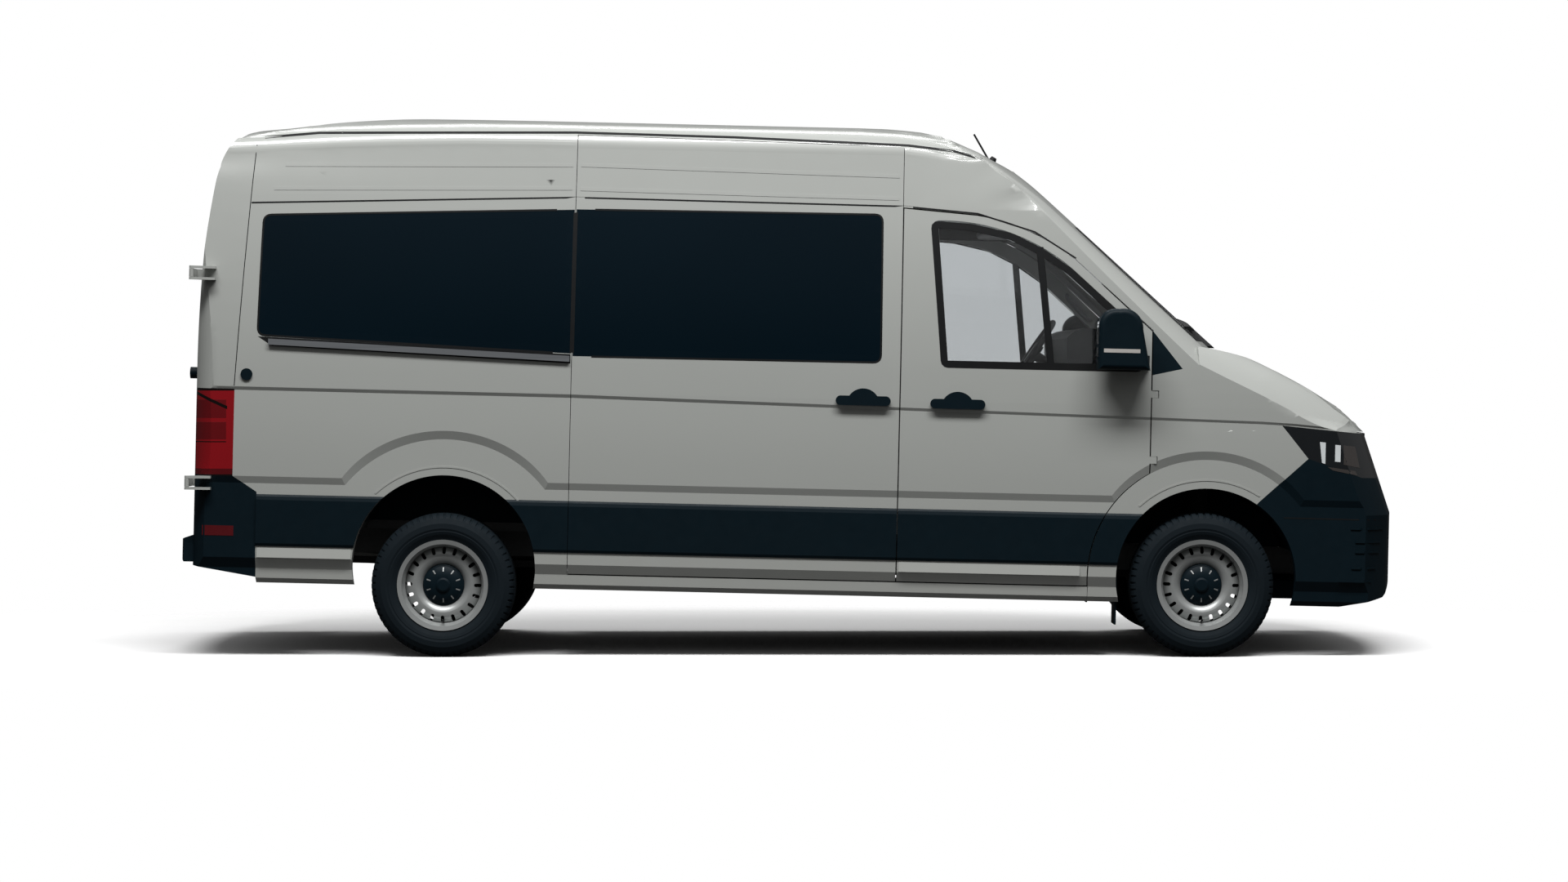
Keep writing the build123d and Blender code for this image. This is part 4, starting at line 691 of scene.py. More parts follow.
def rounded(corners, radii, steps=5):
    """A closed outline with each corner rounded by its own radius, or left square where that is nought."""
    outline = []
    for i, (corner, radius) in enumerate(zip(corners, radii)):
        if not radius:
            outline.append(corner)
            continue
        first = part_way(corner, corners[i - 1], radius)
        last = part_way(corner, corners[(i + 1) % len(corners)], radius)
        for k in range(steps + 1):
            t = k / steps
            shares = ((1 - t) ** 2, 2 * t * (1 - t), t * t)
            trios = zip(first, corner, last)
            outline.append(tuple(sum(s * p for s, p in zip(shares, trio)) for trio in trios))
    return outline


def oblong(first, last, high, low):
    """The four corners of an upright oblong."""
    return [(first, high), (last, high), (last, low), (first, low)]


SIDE_NAMES = {
    -1: ["quarter_panel_right", "sliding_door", "roof", "side_windows", "sliding_door_glass", "rear_frame",
         "windscreen_frame", "front_wings", "front_bumper", "rear_bumper", "tail_lamps", "headlamps"],
    1: ["side_panel_left", "roof", "side_windows", "rear_frame", "windscreen_frame", "front_wings",
        "front_bumper", "rear_bumper", "tail_lamps", "headlamps"],
}
SIDE_SKIN = {side: skin_of(*names) for side, names in SIDE_NAMES.items()}
SIDE_WORD = {-1: "right", 1: "left"}
DOOR_SKIN = {side: skin_of(f"front_door_{word}", f"front_door_glass_{word}")
             for side, word in SIDE_WORD.items()}
print("skins", len(SIDE_SKIN) + len(DOOR_SKIN))

# %% [markdown]
# Dark lines part the panels: a gutter over the windows that sweeps down the windscreen post, a groove
# near the roof's edge, the joint at the rear post and a strip between the panes. Each is a thin black bead.
# On the gutter and the groove the black is painted shade, standing in for the shade inside the groove.
# The lines pressed into the roof's side are low beads in body colour.

# %% Gutter, roof groove and rear joint
GUTTER = [(-2606, 2121), (-1052, 2181), (523, 2174), (879, 2147), (1030, 2109), (1154, 2065), (1260, 2004),
          (1352, 1943)]
ROOF_GROOVE = [(-2560, 2440), (-2300, 2468), (-1060, 2497), (-300, 2491), (540, 2470), (760, 2448),
               (900, 2412)]
REAR_JOINT = [(-2659, 1242), (-2611, 2112), (-2597, 2360), (-2592, 2440)]
PANE_STRIP = [(-1050, 2108), (-1050, 1436)]
# The black of the gutter and roof groove beads is painted shade, in place of the shade inside those grooves
# Each bead's path, its width and how far it stands out
BLACK_BEADS = {
    "gutter": (GUTTER, 7, 1.2), "roof_groove": (ROOF_GROOVE, 12, 0.6), "rear_joint": (REAR_JOINT, 4, 0.5),
    "pane_strip": (PANE_STRIP, 20, 0.8),
}
PRESSED_LINES = [[(-2450, 2308), (-1070, 2336)], [(-2500, 2192), (-1070, 2224)],
                 [(-1030, 2338), (500, 2318)], [(-1030, 2222), (500, 2210)]]
PRESSED_SIZE = (16, 1.5)
for side, word in SIDE_WORD.items():
    skin, view = SIDE_SKIN[side], side_place(side)
    for label, (path, width, proud) in BLACK_BEADS.items():
        bead(f"{label}_{word}", skin, view, path, width, proud, *RUBBER_ON_VAN)
    for row, line in enumerate(PRESSED_LINES):
        bead(f"pressed_line_{row}_{word}", skin, view, line, *PRESSED_SIZE, *PAINT_ON_VAN)
print("beads on each side", len(BLACK_BEADS) + len(PRESSED_LINES))

# %% [markdown]
# The windows behind the cab sit in thin rubber seals. The cab windows have a broad black border instead, a
# bar that parts off the small fixed pane, and a black sail where the mirror joins the door. The windscreen
# has a black border too, drawn as it is seen from the front.

# %% Window seals and borders
WINDOW_CORNER = 38
# Corners, and each corner's radius
SIDE_WINDOWS = {
    "quarter": ([(-2544, 2064), (-1055, 2122), (-1055, 1431), (-2554, 1487)],
                (WINDOW_CORNER, 0, 0, WINDOW_CORNER)),
    "middle": ([(-1046, 2124), (423, 2132), (428, 1422), (-1046, 1419)],
               (0, WINDOW_CORNER, WINDOW_CORNER, 0)),
}
CAB_WINDOW = [(672, 2090), (850, 2080), (1040, 2040), (1190, 1968), (1322, 1880), (1668, 1576), (1668, 1422),
              (732, 1422)]
CAB_CORNER = 18
CAB_CORNER_STEPS = 3
CAB_BAR = [(1178, 1992), (1240, 1424)]
SAIL = [(1556, 1712), (1718, 1600), (1728, 1402), (1604, 1402)]
SAIL_PROUD = 1.6
SAIL_CELLS = (12, 12)
SCREEN = [(764, 1546), (656, 2048), (-656, 2048), (-764, 1546)]
SCREEN_CORNER = 50
# Width of each seal or border and how far it stands out
SEAL_SIZE = (9, 1.0)
SEAL_SPACING = 90
BORDER_SIZE = (34, 1.2)
BAR_SIZE = (34, 1.4)
SCREEN_SIZE = (58, 1.2)
for side, word in SIDE_WORD.items():
    view = side_place(side)
    for pane, (corners, radii) in SIDE_WINDOWS.items():
        outline = rounded(corners, radii)
        bead(f"{pane}_seal_{word}", SIDE_SKIN[side], view, outline, *SEAL_SIZE, *RUBBER_ON_VAN, True,
             SEAL_SPACING)
    door = f"front_door_body_{word}"
    on_door = (seal_rubber, door, "black_plastic")
    border = rounded(CAB_WINDOW, [CAB_CORNER] * len(CAB_WINDOW), CAB_CORNER_STEPS)
    bead(f"cab_border_{word}", DOOR_SKIN[side], view, border, *BORDER_SIZE, *on_door, True)
    bead(f"cab_bar_{word}", DOOR_SKIN[side], view, CAB_BAR, *BAR_SIZE, *on_door)
    patch(f"mirror_sail_{word}", DOOR_SKIN[side], view, SAIL, SAIL_PROUD, black_plastic, door,
          "black_plastic", SAIL_CELLS)
outline = rounded(SCREEN, [SCREEN_CORNER] * len(SCREEN))
bead("screen_border", skin_of("windscreen"), end_place(1), outline, *SCREEN_SIZE, *RUBBER_ON_VAN, True)
print("seals on each side", len(SIDE_WINDOWS))

# %% [markdown]
# The sliding door's upper rail lies in a black channel under the quarter window. The channel is a thin
# plate on the panel behind the rail, cut at a slant where the rail ends.

# %% Rail channel
RAIL_CHANNEL = [(-2552, 1480), (-1056, 1428), (-1056, 1384), (-2484, 1436)]
CHANNEL_PROUD = 0.6
CHANNEL_CELLS = (24, 3)
patch("rail_channel", SIDE_SKIN[-1], side_place(-1), RAIL_CHANNEL, CHANNEL_PROUD, *RUBBER_ON_VAN,
      CHANNEL_CELLS)
print("rail channel", RAIL_CHANNEL[0])

# %% [markdown]
# Round each wheel opening the panel has a rolled lip. It shows as a thin ring a hand's breadth
# outside the edge, in body colour.

# %% Wheel arch lips
# Middle, radius, and the angles between which the lip runs
ARCH_LIPS = {"rear": ((-1643, 397), 479, (42, 138)), "front": ((2005, 425), 470, (58, 136))}
LIP_STEP = 4
LIP_SIZE = (8, 2.0)
for side, word in SIDE_WORD.items():
    for arch, ((cx, cz), radius, (low, high)) in ARCH_LIPS.items():
        angles = [math.radians(a) for a in range(low, high, LIP_STEP)]
        ring = [(cx + radius * math.cos(a), cz + radius * math.sin(a)) for a in angles]
        bead(f"{arch}_arch_lip_{word}", SIDE_SKIN[side], side_place(side), ring, *LIP_SIZE, *PAINT_ON_VAN)
print("arch lips", len(SIDE_WORD) * len(ARCH_LIPS))

# %% [markdown]
# Below the black cladding the sill steps outwards, so that it catches the light. The step is a plate that
# stands further out at its foot than at its head, one piece for each panel.

# %% Sill steps
STEP_Z = (474, 424)
STEP_PROUD = (0.5, 9.0)
STEP_CELLS = (16, 3)
# Panels as x from and to
SILL_STEPS = {"rear": (-2536, -2085), "middle": (-1204, 520), "door": (534, 1400)}
for side, word in SIDE_WORD.items():
    for panel, ends in SILL_STEPS.items():
        skin, body = (DOOR_SKIN, f"front_door_body_{word}") if panel == "door" else (SIDE_SKIN, "van")
        patch(f"sill_step_{panel}_{word}", skin[side], side_place(side), oblong(*ends, *STEP_Z), STEP_PROUD,
              paint, body, "body_paint", STEP_CELLS)
print("sill steps on each side", len(SILL_STEPS))

# %% [markdown]
# Behind the dark headlamp cover stand two upright light guides, a smoked bowl ahead of them and a
# smoked strip along the foot. Red reflectors sit low on the rear bumper.

# %% Lamp fittings
LAMP_FITTINGS = {
    "guide_rear": ([(2534, 1090), (2562, 1088), (2562, 986), (2546, 990)], lamp_bright),
    "guide_front": ([(2608, 1078), (2634, 1076), (2634, 996), (2608, 998)], lamp_bright),
    "bowl": ([(2650, 1076), (2716, 1070), (2738, 968), (2650, 984)], lamp_smoke),
    "foot_strip": ([(2572, 972), (2712, 954), (2722, 932), (2600, 955)], lamp_smoke),
}
REFLECTOR = oblong(-2800, -2650, 572, 524)
FITTING_PROUD = 1.0
REFLECTOR_PROUD = 1.2
for side, word in SIDE_WORD.items():
    skin, view = SIDE_SKIN[side], side_place(side)
    for fitting, (corners, finish) in LAMP_FITTINGS.items():
        patch(f"lamp_{fitting}_{word}", skin, view, corners, FITTING_PROUD, finish, "van", "lamp_cover")
    patch(f"rear_reflector_{word}", skin, view, REFLECTOR, REFLECTOR_PROUD, reflector_red, "van",
          "tail_lamp_red")
print("lamp fittings", len(LAMP_FITTINGS))

# %% [markdown]
# A seam runs round the bumper at half its height, and below it the corner has ribs in front of an intake.

# %% Bumper seam and ribs
BUMPER_SEAM = [(2372, 723), (2862, 721)]
BUMPER_RIBS = [[(2692, 679), (2866, 679)], [(2716, 616), (2850, 616)], [(2716, 567), (2842, 567)],
               [(2700, 490), (2824, 490)], [(2640, 427), (2800, 427)]]
SEAM_SIZE = (6, 0.6)
RIB_SIZE = (10, 5.0)
for side, word in SIDE_WORD.items():
    skin, view = SIDE_SKIN[side], side_place(side)
    bead(f"bumper_seam_{word}", skin, view, BUMPER_SEAM, *SEAM_SIZE, *RUBBER_ON_VAN)
    for row, line in enumerate(BUMPER_RIBS):
        bead(f"bumper_rib_{row}_{word}", skin, view, line, *RIB_SIZE, *PLASTIC_ON_VAN)
print("bumper ribs on each side", len(BUMPER_RIBS))

# %% [markdown]
# Blank number plates: one on the bumper, one on the left rear door. Nothing is written on them.

# %% Plates
FRONT_PLATE = oblong(-260, 260, 800, 690)
REAR_PLATE = oblong(150, 670, 900, 790)
PLATE_PROUD = 5
PLATE_CELLS = (16, 4)
patch("front_plate", skin_of("front_bumper"), end_place(1), FRONT_PLATE, PLATE_PROUD, plate_white, "van",
      "body_paint", PLATE_CELLS)
patch("rear_plate", skin_of("rear_door_left", "rear_door_glass_left"), end_place(-1), REAR_PLATE, PLATE_PROUD,
      plate_white, "rear_door_body_left", "body_paint", PLATE_CELLS)
print("plates at", FRONT_PLATE[0], REAR_PLATE[0])

# %% [markdown]
# The tread is one pattern repeated round the tyre, so Geometry Nodes do it: a single pitch is modelled
# in mesh code and a node tree turns copies of it about the axle. Grooves run round the tyre, and short
# notches cross its shoulders.

# %% One pitch of tread
PITCHES = 64
NOTCH = 6.0
# Shares of a pitch, and whether the notch is cut there
TURNS = [(0.0, 0), (0.62, 0), (0.66, 1), (0.95, 1), (1.0, 0)]
# Tyre section from bead to bead: distance from the tyre's middle, radius, and whether a notch lowers it
SECTION = [(-92, 206, 0), (-101, 225, 0), (-110, 244, 0), (-114, 258, 0), (-113, 262, 0), (-116, 272, 0),
           (-114, 296, 0), (-104, 319, 0), (-98, 329, 1), (-88, 337, 1), (-76, 342, 1), (-58, 345, 1),
           (-56, 337, 0), (-48, 337, 0), (-46, 345, 0), (-24, 345, 0), (-22, 337, 0), (-14, 337, 0),
           (-12, 345, 0)]
SECTION += [(-y, r, cut) for y, r, cut in reversed(SECTION)]


def tread_pitch():
    """One pitch of the tyre about the Y axis, in metres."""
    step = 2 * math.pi / PITCHES
    points, faces = [], []
    for share, in_notch in TURNS:
        angle = (share - 0.5) * step
        for y, radius, cut in SECTION:
            r = radius - NOTCH * cut * in_notch
            points.append((r * math.sin(angle) * MM, y * MM, r * math.cos(angle) * MM))
    wide = len(SECTION)
    for j in range(len(TURNS) - 1):
        for i in range(wide):
            after = (i + 1) % wide
            faces.append((j * wide + i, j * wide + after, (j + 1) * wide + after, (j + 1) * wide + i))
    mesh = bpy.data.meshes.new("tread_pitch")
    mesh.from_pydata(points, [], faces)
    return link("tread_pitch", mesh)


pitch = tread_pitch()
print("faces in a pitch", len(pitch.data.polygons))

# %% [markdown]
# The ring tree: every copy stands on the axle, each is turned about it to its own angle, and the
# copies are made real and joined. It serves for the tread and for the marks on the wheel caps.

# %% The ring of copies


def ring_tree(finish):
    """A node tree that sets copies of an object round the Y axis."""
    tree = bpy.data.node_groups.new("ring_of_copies", "GeometryNodeTree")
    sockets = {}
    for label, kind in (("Copy", "Object"), ("Count", "Int"), ("Weld", "Float")):
        made = tree.interface.new_socket(label, in_out="INPUT", socket_type="NodeSocket" + kind)
        sockets[label] = made.identifier
    tree.interface.new_socket("Geometry", in_out="OUTPUT", socket_type="NodeSocketGeometry")
    kinds = ["NodeGroupInput", "NodeGroupOutput", "GeometryNodeObjectInfo", "GeometryNodeMeshLine",
             "GeometryNodeInputIndex", "ShaderNodeMath", "ShaderNodeMath", "ShaderNodeCombineXYZ",
             "GeometryNodeInstanceOnPoints", "GeometryNodeRealizeInstances", "GeometryNodeMergeByDistance",
             "GeometryNodeSetMaterial"]
    nodes = [tree.nodes.new(kind) for kind in kinds]
    given, out, info, line, index, step, turn, spin, copies, real, weld, dress = nodes
    step.operation, turn.operation = "DIVIDE", "MULTIPLY"
    step.inputs[0].default_value = 2 * math.pi
    line.inputs["Offset"].default_value = (0, 0, 0)
    dress.inputs["Material"].default_value = finish.material
    wires = [(given, "Copy", info, "Object"), (given, "Count", line, "Count"), (given, "Count", step, 1),
             (index, 0, turn, 0), (step, 0, turn, 1), (turn, 0, spin, "Y"), (line, "Mesh", copies, "Points"),
             (info, "Geometry", copies, "Instance"), (spin, 0, copies, "Rotation"), (copies, 0, real, 0),
             (real, 0, weld, "Geometry"), (given, "Weld", weld, "Distance"), (weld, 0, dress, "Geometry"),
             (dress, 0, out, 0)]
    for source, output, target, entry in wires:
        tree.links.new(source.outputs[output], target.inputs[entry])
    return tree, sockets


def ring_mesh(name, copied, count, finish, weld):
    """The realized ring of copies as a plain mesh."""
    tree, sockets = ring_tree(finish)
    host = link(name + "_host", bpy.data.meshes.new(name + "_host"))
    modifier = host.modifiers.new("ring", "NODES")
    modifier.node_group = tree
    modifier[sockets["Copy"]] = copied
    modifier[sockets["Count"]] = count
    modifier[sockets["Weld"]] = weld
    graph = bpy.context.evaluated_depsgraph_get()
    mesh = bpy.data.meshes.new_from_object(host.evaluated_get(graph))
    bpy.data.objects.remove(host)
    bpy.data.objects.remove(copied)
    mesh.name = name
    return mesh


WHEELS = {
    "front_left": (1993, 870), "front_right": (1993, -870),
    "rear_left": (-1647, 870), "rear_right": (-1647, -870),
}


def set_on_wheels(mesh, label, finish, replaced=None, smooth=False):
    """A copy of the mesh on each wheel, with its outer face turned outwards."""
    for wheel, (x, y) in WHEELS.items():
        copy = mesh.copy()
        side = 1 if y > 0 else -1
        for vertex in copy.vertices:
            px, py, pz = vertex.co
            vertex.co = (px + (x + FRAME_SHIFT) * MM, py * side + y * MM, pz + HUB_HEIGHT * MM)
        obj = finish_piece(link(f"{label}_{wheel}", copy), finish, f"wheel_{wheel}", smooth)
        if replaced:
            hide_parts(f"{replaced}_{wheel}")


print("wheels", len(WHEELS))

# %% [markdown]
# The tread replaces the plain tyre of the model on all four wheels, in the same place and size.

# %% Tyres
# How near two corners of neighbouring pitches are when they become one, in metres
TREAD_WELD = 0.00002
tread = ring_mesh("tread", pitch, PITCHES, tyre_rubber, TREAD_WELD)
set_on_wheels(tread, "tyre_tread", tyre_rubber, "tyre")
print("tread faces", len(tread.polygons))

# %% [markdown]
# A black cap covers each hub. Ten short pale marks point outwards on it, and the inflation valve
# stands at the foot of the rim.

# %% Cap marks and valves
MARKS = 10
# One mark as a bar on the cap's slope: radius and distance out from the wheel's middle, and half width
MARK_ENDS = [(64, 61.4, 2.4), (84, 52.2, 3.2)]
MARK_T = 1.6
MARK_SINK = 1.0


def cap_mark():
    """One mark on the cap, above the wheel's middle, in metres."""
    points = []
    for radius, out, half in MARK_ENDS:
        for deep in (0, MARK_T + MARK_SINK):
            points += [(s * half * MM, (out + MARK_T - deep) * MM, radius * MM) for s in (-1, 1)]
    faces = [(0, 1, 5, 4), (2, 6, 7, 3), (0, 4, 6, 2), (1, 3, 7, 5), (0, 2, 3, 1), (4, 5, 7, 6)]
    mesh = bpy.data.meshes.new("cap_mark")
    mesh.from_pydata(points, [], faces)
    return link("cap_mark", mesh)


marks = ring_mesh("cap_marks", cap_mark(), MARKS, wheel_silver, 0.0)
set_on_wheels(marks, "cap_marks", wheel_silver)

# Valve as radius and distance along its stem, and where the stem starts on the rim
VALVE = [(0, 0), (5, 0), (5, 14), (4, 16), (4, 30), (5.5, 31), (5.5, 40), (4.5, 42), (0, 42)]
VALVE_FOOT = (178, 48)
VALVE_SIDES = 12
VALVE_LEAN = 0.25
valve_points, valve_faces = [], []
for k in range(VALVE_SIDES):
    turn = 2 * math.pi * k / VALVE_SIDES
    for radius, along in VALVE:
        valve_points.append((radius * math.cos(turn) * MM, (VALVE_FOOT[1] + along) * MM,
                             (-VALVE_FOOT[0] + radius * math.sin(turn) + VALVE_LEAN * along) * MM))
stem = len(VALVE)
for k in range(VALVE_SIDES):
    after = (k + 1) % VALVE_SIDES
    valve_faces += [(k * stem + i, k * stem + i + 1, after * stem + i + 1, after * stem + i)
                    for i in range(stem - 1)]
valve = bpy.data.meshes.new("valve")
valve.from_pydata(valve_points, [], valve_faces)
set_on_wheels(valve, "valve", seal_rubber, None, True)
print("marks on a cap", MARKS, "valves", len(WHEELS))

# %% [markdown]
# The mirrors carry an indicator strip along the outside and two glasses facing back, a large flat one
# above a small wide-angle one.

# %% Mirror fittings
INDICATOR = oblong(1476, 1648, 1512, 1494)
INDICATOR_CELLS = (16, 2)
MIRROR_PANES = {"main": (1606, 1500), "wide": (1484, 1440)}
PANE_CELLS = (4, 4)
# The panes' near and far edges from the van's middle
MIRROR_Y = (1089, 1181)
for side, word in SIDE_WORD.items():
    door = f"front_door_body_{word}"
    skin = skin_of(f"front_door_trim_{word}")
    patch(f"mirror_indicator_{word}", skin, side_place(side), INDICATOR, FITTING_PROUD, indicator_lens, door,
          "lamp_cover", INDICATOR_CELLS)
    for pane, heights in MIRROR_PANES.items():
        corners = oblong(*(side * y for y in MIRROR_Y), *heights)
        patch(f"mirror_{pane}_{word}", skin, end_place(-1), corners, FITTING_PROUD, mirror_glass, door,
              "clear_glass", PANE_CELLS)
print("mirror fittings on each side", 1 + len(MIRROR_PANES))

# %% [markdown]
# Seats are the only soft things here. Each cushion is a closed form with a crown, drawn-in sides and two
# or three sewn channels. A grid on a box is pushed out by a smooth rule, which is quicker than a cloth
# simulation and as good for seats that show only through glass.

# %% Seat cushions
CELLS = 14
CROWN = 16.0
PULL_IN = 7.0
CHANNEL = 7.0
CHANNEL_WIDTH = 0.05
ROUNDING = 0.10
END_PULL = 0.4


def cushion(name, middle, size, lean, channels):
    """A padded block with its crown along its own thickness, the last size, leaned back about Y."""
    half = [value / 2 for value in size]
    bm = bmesh.new()
    bmesh.ops.create_cube(bm, size=2.0)
    bmesh.ops.subdivide_edges(bm, edges=bm.edges, cuts=CELLS - 1, use_grid_fill=True)
    for vertex in bm.verts:
        a, b, c = vertex.co
        soft = [(1 - abs(v) ** 4) for v in (a, b, c)]
        edge = 1 - ROUNDING * (a * a * b * b + b * b * c * c + a * a * c * c)
        x = half[0] * a * edge - math.copysign(PULL_IN, a) * abs(a) ** 6 * (1 - soft[1]) * END_PULL
        y = half[1] * b * edge - math.copysign(PULL_IN, b) * abs(b) ** 6 * soft[0]
        z = half[2] * c * edge + math.copysign(CROWN, c) * abs(c) ** 2 * soft[0] * soft[1] * (c > 0)
        for line in channels:
            z -= CHANNEL * (c > 0) * abs(c) ** 4 * math.exp(-((b - line) / CHANNEL_WIDTH) ** 2)
        turn = math.radians(lean)
        px = x * math.cos(turn) + z * math.sin(turn)
        pz = -x * math.sin(turn) + z * math.cos(turn)
        vertex.co = stand(middle[0] + px, middle[1] + y, middle[2] + pz)
    mesh = bpy.data.meshes.new(name)
    bm.to_mesh(mesh)
    bm.free()
    obj = finish_piece(link(name, mesh), seat_cloth, "van", True)
    return obj


def beveled_block(name, corners, finish, body, slot, edge, segments=3):
    """A block between two corners of the level drawing, its edges rounded."""
    (x0, y0, z0), (x1, y1, z1) = corners
    points = [stand(x, y, z) for x in (x0, x1) for y in (y0, y1) for z in (z0, z1)]
    faces = [(0, 1, 3, 2), (4, 6, 7, 5), (0, 4, 5, 1), (2, 3, 7, 6), (0, 2, 6, 4), (1, 5, 7, 3)]
    mesh = bpy.data.meshes.new(name)
    mesh.from_pydata(points, [], faces)
    bm = bmesh.new()
    bm.from_mesh(mesh)
    bmesh.ops.recalc_face_normals(bm, faces=bm.faces)
    bmesh.ops.bevel(bm, geom=bm.edges, offset=edge * MM, segments=segments, profile=0.5, affect="EDGES")
    bm.to_mesh(mesh)
    bm.free()
    return finish_piece(link(name, mesh), finish, body, True)


# Seats as y from and to, and where their channels run as shares of half the width
SEATS = {"driver": (200, 720, (-0.42, 0.42)), "bench": (-740, 40, (-0.6, 0.0, 0.6))}
SEAT_GAP = 10
# Cushion and back: middle in x and z, length, thickness and lean
PADS = {"cushion": (868, 915, 500, 106, 0.0), "back": (626, 1160, 410, 76, -84.0)}
BOX_X, BOX_Z = (650, 1050), (602, 862)
BOX_INSET = 34
BOX_EDGE = 16
for seat, (y0, y1, channels) in SEATS.items():
    for pad, (x, z, length, thick, lean) in PADS.items():
        size = (length, y1 - y0 - SEAT_GAP, thick)
        cushion(f"{seat}_{pad}", (x, (y0 + y1) / 2, z), size, lean, channels)
    corners = ((BOX_X[0], y0 + BOX_INSET, BOX_Z[0]), (BOX_X[1], y1 - BOX_INSET, BOX_Z[1]))
    beveled_block(f"{seat}_box", corners, *TRIM_ON_VAN, BOX_EDGE)
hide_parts("seats")

# %% [markdown]
# What else shows of the cab through its windows: a shelf over the windscreen, trim over the doors, grab
# handles on both windscreen posts and dark cards on the inner sides of the doors.

# %% Cab trim


def tube(name, path, radius, finish, body):
    """A round bar along a smooth path of drawing points, closed at its ends."""
    curve = bpy.data.curves.new(name, "CURVE")
    curve.dimensions = "3D"
    spline = curve.splines.new("NURBS")
    spline.points.add(len(path) - 1)
    for point, place in zip(spline.points, path):
        point.co = (*stand(*place), 1.0)
    spline.order_u = 3
    spline.use_endpoint_u = True
    curve.bevel_depth = radius * MM
    curve.bevel_resolution = 3
    curve.use_fill_caps = True
    obj = link(name, curve)
    graph = bpy.context.evaluated_depsgraph_get()
    mesh = bpy.data.meshes.new_from_object(obj.evaluated_get(graph))
    bpy.data.objects.remove(obj)
    mesh.name = name
    return finish_piece(link(name, mesh), finish, body, True)


SHELF = ((960, -800, 2080), (1290, 800, 2130))
SHELF_EDGE = 20
HEADER = ((560, 846, 2076), (1160, 868, 2190))
HEADER_EDGE = 8
GRAB = [(1450, 850, 1800), (1440, 815, 1790), (1500, 808, 1730), (1560, 818, 1670), (1575, 856, 1672)]
GRAB_RADIUS = 13
CARD = [(600, 1375), (1700, 1375), (1400, 480), (600, 480)]
CARD_PROUD = 4
CARD_CELLS = (12, 8)
beveled_block("overhead_shelf", SHELF, *TRIM_ON_VAN, SHELF_EDGE)
for side, word in SIDE_WORD.items():
    header = [(x, side * y, z) for x, y, z in HEADER]
    beveled_block(f"header_trim_{word}", header, *TRIM_ON_VAN, HEADER_EDGE)
    grab = [(x, side * y, z) for x, y, z in GRAB]
    tube(f"grab_handle_{word}", grab, GRAB_RADIUS, post_trim, "van")
    # The door's inner side is seen from the van's other side
    patch(f"door_card_{word}", DOOR_SKIN[side], side_place(-side), CARD, CARD_PROUD, cab_plastic,
          f"front_door_body_{word}", "dark_interior", CARD_CELLS)
print("cab trim on both sides")

# %% [markdown]
# Low down and under the bonnet: seals inside the sills, a panel that carries the bonnet's lock, a tray under
# the engine, and the bonnet's seal, which follows the nose just behind its face.

# %% Sill seals, lock panel, tray and bonnet seal
# Sill seals as x from and to on each side, then their distance from the van's middle and their height
SILL_SEALS = {-1: (-1052, 1437), 1: (526, 1437)}
SILL_SEAL_Y = (928, 944)
SILL_SEAL_Z = (346, 392)
SILL_SEAL_EDGE = 3
LOCK_PANEL = ((2640, -520, 1096), (2770, 520, 1126))
TRAY = ((2290, -540, 310), (2560, 540, 404))
PANEL_EDGE = 10
for side, ends in SILL_SEALS.items():
    corners = [(x, side * y, z) for x, y, z in zip(ends, SILL_SEAL_Y, SILL_SEAL_Z)]
    beveled_block(f"sill_seal_{SIDE_WORD[side]}", corners, *RUBBER_ON_VAN, SILL_SEAL_EDGE, 2)
beveled_block("lock_panel", LOCK_PANEL, *PLASTIC_ON_VAN, PANEL_EDGE)
beveled_block("engine_tray", TRAY, *PLASTIC_ON_VAN, PANEL_EDGE)

NOSE_SEAL_Y = 600
NOSE_SEAL_STEPS = 24
# Rays from the front run level and the van leans, so this height meets the nose some 66 mm higher
NOSE_SEAL_SEEN = 1038
NOSE_SEAL_DEPTH = (4, 60)
NOSE_SEAL_Z = (1094, 1128)
nose_skin = skin_of("grille", "headlamps")
nose_place, nose_toward = end_place(1)
low, high = NOSE_SEAL_Z
seal_points = []
for step in range(NOSE_SEAL_STEPS + 1):
    y = NOSE_SEAL_Y * (2 * step / NOSE_SEAL_STEPS - 1)
    nose_x = level(on_skin(nose_skin, nose_place(y, NOSE_SEAL_SEEN), nose_toward)[0])[0]
    front, rear = (nose_x - depth for depth in NOSE_SEAL_DEPTH)
    seal_points += [stand(front, y, low), stand(front, y, high), stand(rear, y, high), stand(rear, y, low)]
seal_faces = [(4 * j + k, 4 * j + (k + 1) % 4, 4 * j + 4 + (k + 1) % 4, 4 * j + 4 + k)
              for j in range(NOSE_SEAL_STEPS) for k in range(4)]
last = 4 * NOSE_SEAL_STEPS
seal_faces += [(0, 1, 2, 3), (last, last + 3, last + 2, last + 1)]
solid("bonnet_seal", seal_points, seal_faces, *RUBBER_ON_VAN)
print("bonnet seal points", len(seal_points))

# %% [markdown]
# A pale floor and soft studio light. The floor fades into the white round it, so no horizon shows. The
# sky is bright overhead and dim near the horizon, which keeps the upright windows dark. Two long lamps
# high on either side, the near one stronger, light the van's sides and give it its shadow.

# %% Floor and light
FLOOR_HALF = 40.0
# The floor's fade: where it starts and ends across the van, and how much slower it is along the van
FADE_NEAR = 1.5
FADE_FAR = 3.4
FADE_ALONG = 0.3
WHITE = (1.0, 1.0, 1.0)
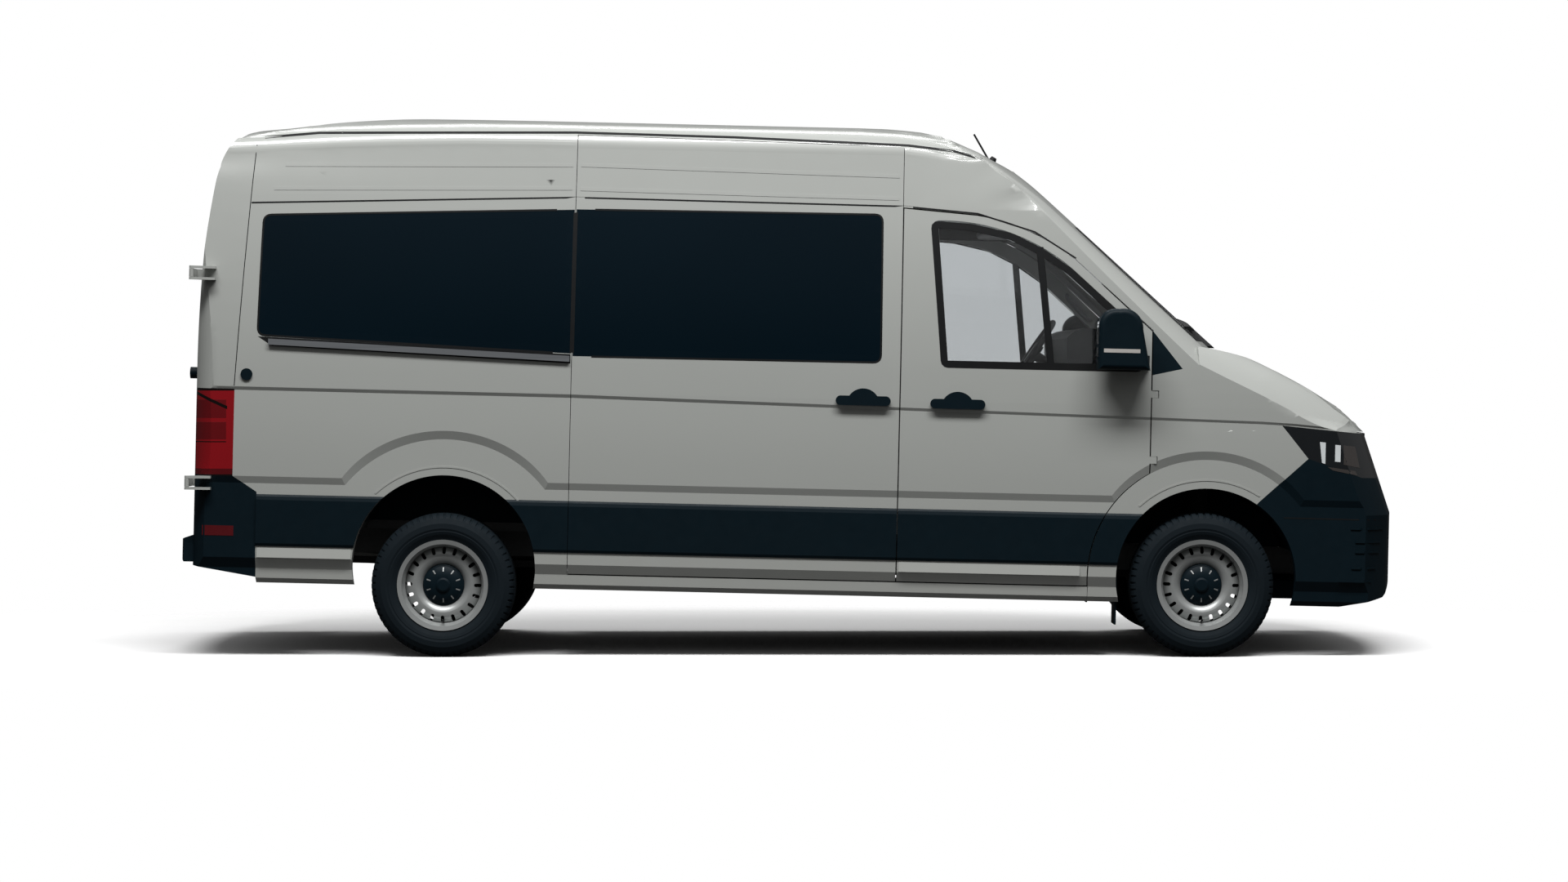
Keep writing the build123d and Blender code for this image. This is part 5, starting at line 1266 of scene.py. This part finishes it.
# The floor as the van's sides see it, and as the camera sees it
FLOOR_DIM = (0.10, 0.10, 0.10)
FLOOR_PALE = (0.95, 0.95, 0.95)
floor_finish = Finish("studio_floor", WHITE, 0.9, **{"Specular IOR Level": 0.0})
floor_x, floor_y, _ = floor_finish.axes()
reach = floor_finish.math_of("SQRT", floor_x * floor_x * FADE_ALONG + floor_y * floor_y)
fade = floor_finish.node("MapRange", {"interpolation_type": "SMOOTHSTEP"},
                         {"Value": reach, "From Min": FADE_NEAR, "From Max": FADE_FAR, "To Min": 1.0,
                          "To Max": 0.0})
looked_at = floor_finish.node("LightPath").outputs["Is Camera Ray"]
floor_finish.set(**{"Base Color": floor_finish.mix(looked_at, rgba(FLOOR_DIM), rgba(FLOOR_PALE)),
                    "Alpha": fade.outputs[0], "Roughness": 0.85 + floor_finish.noise(3.0) * 0.1})
floor_mesh = bpy.data.meshes.new("studio_floor")
floor_corners = oblong(-FLOOR_HALF, FLOOR_HALF, -FLOOR_HALF, FLOOR_HALF)
floor_mesh.from_pydata([(x, y, 0) for x, y in floor_corners], [], [(0, 1, 2, 3)])
floor_mesh.materials.append(floor_finish.material)
link("studio_floor", floor_mesh)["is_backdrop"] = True

# Strength of the sky at the horizon and overhead, for the rays that only light the van, and the heights
# between which it changes
SKY_LOW = 0.03
SKY_HIGH = 0.38
SKY_RISE = (0.05, 0.75)
world = bpy.data.worlds.new("studio")
bpy.context.scene.world = world
world.use_nodes = True
sky = world.node_tree
glow = sky.nodes["Background"]
glow.inputs["Color"].default_value = (*WHITE, 1.0)
sky_kinds = ("LightPath", "TexCoord", "SeparateXYZ", "MapRange", "Math", "Mix")
seen, where, parts, dome, direct, blend = (sky.nodes.new("ShaderNode" + kind) for kind in sky_kinds)
direct.operation = "MAXIMUM"
sky_range = {"From Min": SKY_RISE[0], "From Max": SKY_RISE[1], "To Min": SKY_LOW, "To Max": SKY_HIGH}
for socket, value in sky_range.items():
    dome.inputs[socket].default_value = value
blend.inputs["B"].default_value = 1.0
sky_wires = [(where, "Generated", parts, 0), (parts, "Z", dome, "Value"), (seen, "Is Camera Ray", direct, 0),
             (seen, "Is Transmission Ray", direct, 1), (direct, 0, blend, "Factor"),
             (dome, "Result", blend, "A"), (blend, "Result", glow, "Strength")]
for source, output, target, entry in sky_wires:
    sky.links.new(source.outputs[output], target.inputs[entry])

# Lamps: place, size across and along, power, point aimed at
LAMPS = {
    "near_side": ((0, -7.65, 13.2), (14.0, 3.0), 2750.0, (0, 0, 1.2)),
    "far_side": ((0, 7.65, 13.2), (14.0, 3.0), 900.0, (0, 0, 1.2)),
}
for name, (place, (across, along), power, aim) in LAMPS.items():
    data = bpy.data.lights.new(name, "AREA")
    data.shape = "RECTANGLE"
    data.size = across
    data.size_y = along
    data.energy = power
    lamp = bpy.data.objects.new(name, data)
    lamp.location = place
    lamp.rotation_euler = (Vector(aim) - Vector(place)).to_track_quat("-Z", "Y").to_euler()
    bpy.context.scene.collection.objects.link(lamp)
bpy.context.scene.view_settings.view_transform = "Standard"
print("lamps", len(LAMPS))

# %% [markdown]
# Last, the size of the dressed van is set beside that of the imported model.

# %% Sizes
now_low, now_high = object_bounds()
for label, corners in (("cad", (*cad_low, *cad_high)), ("visual", (*now_low, *now_high))):
    print(label, "box", [round(v, 3) for v in corners])
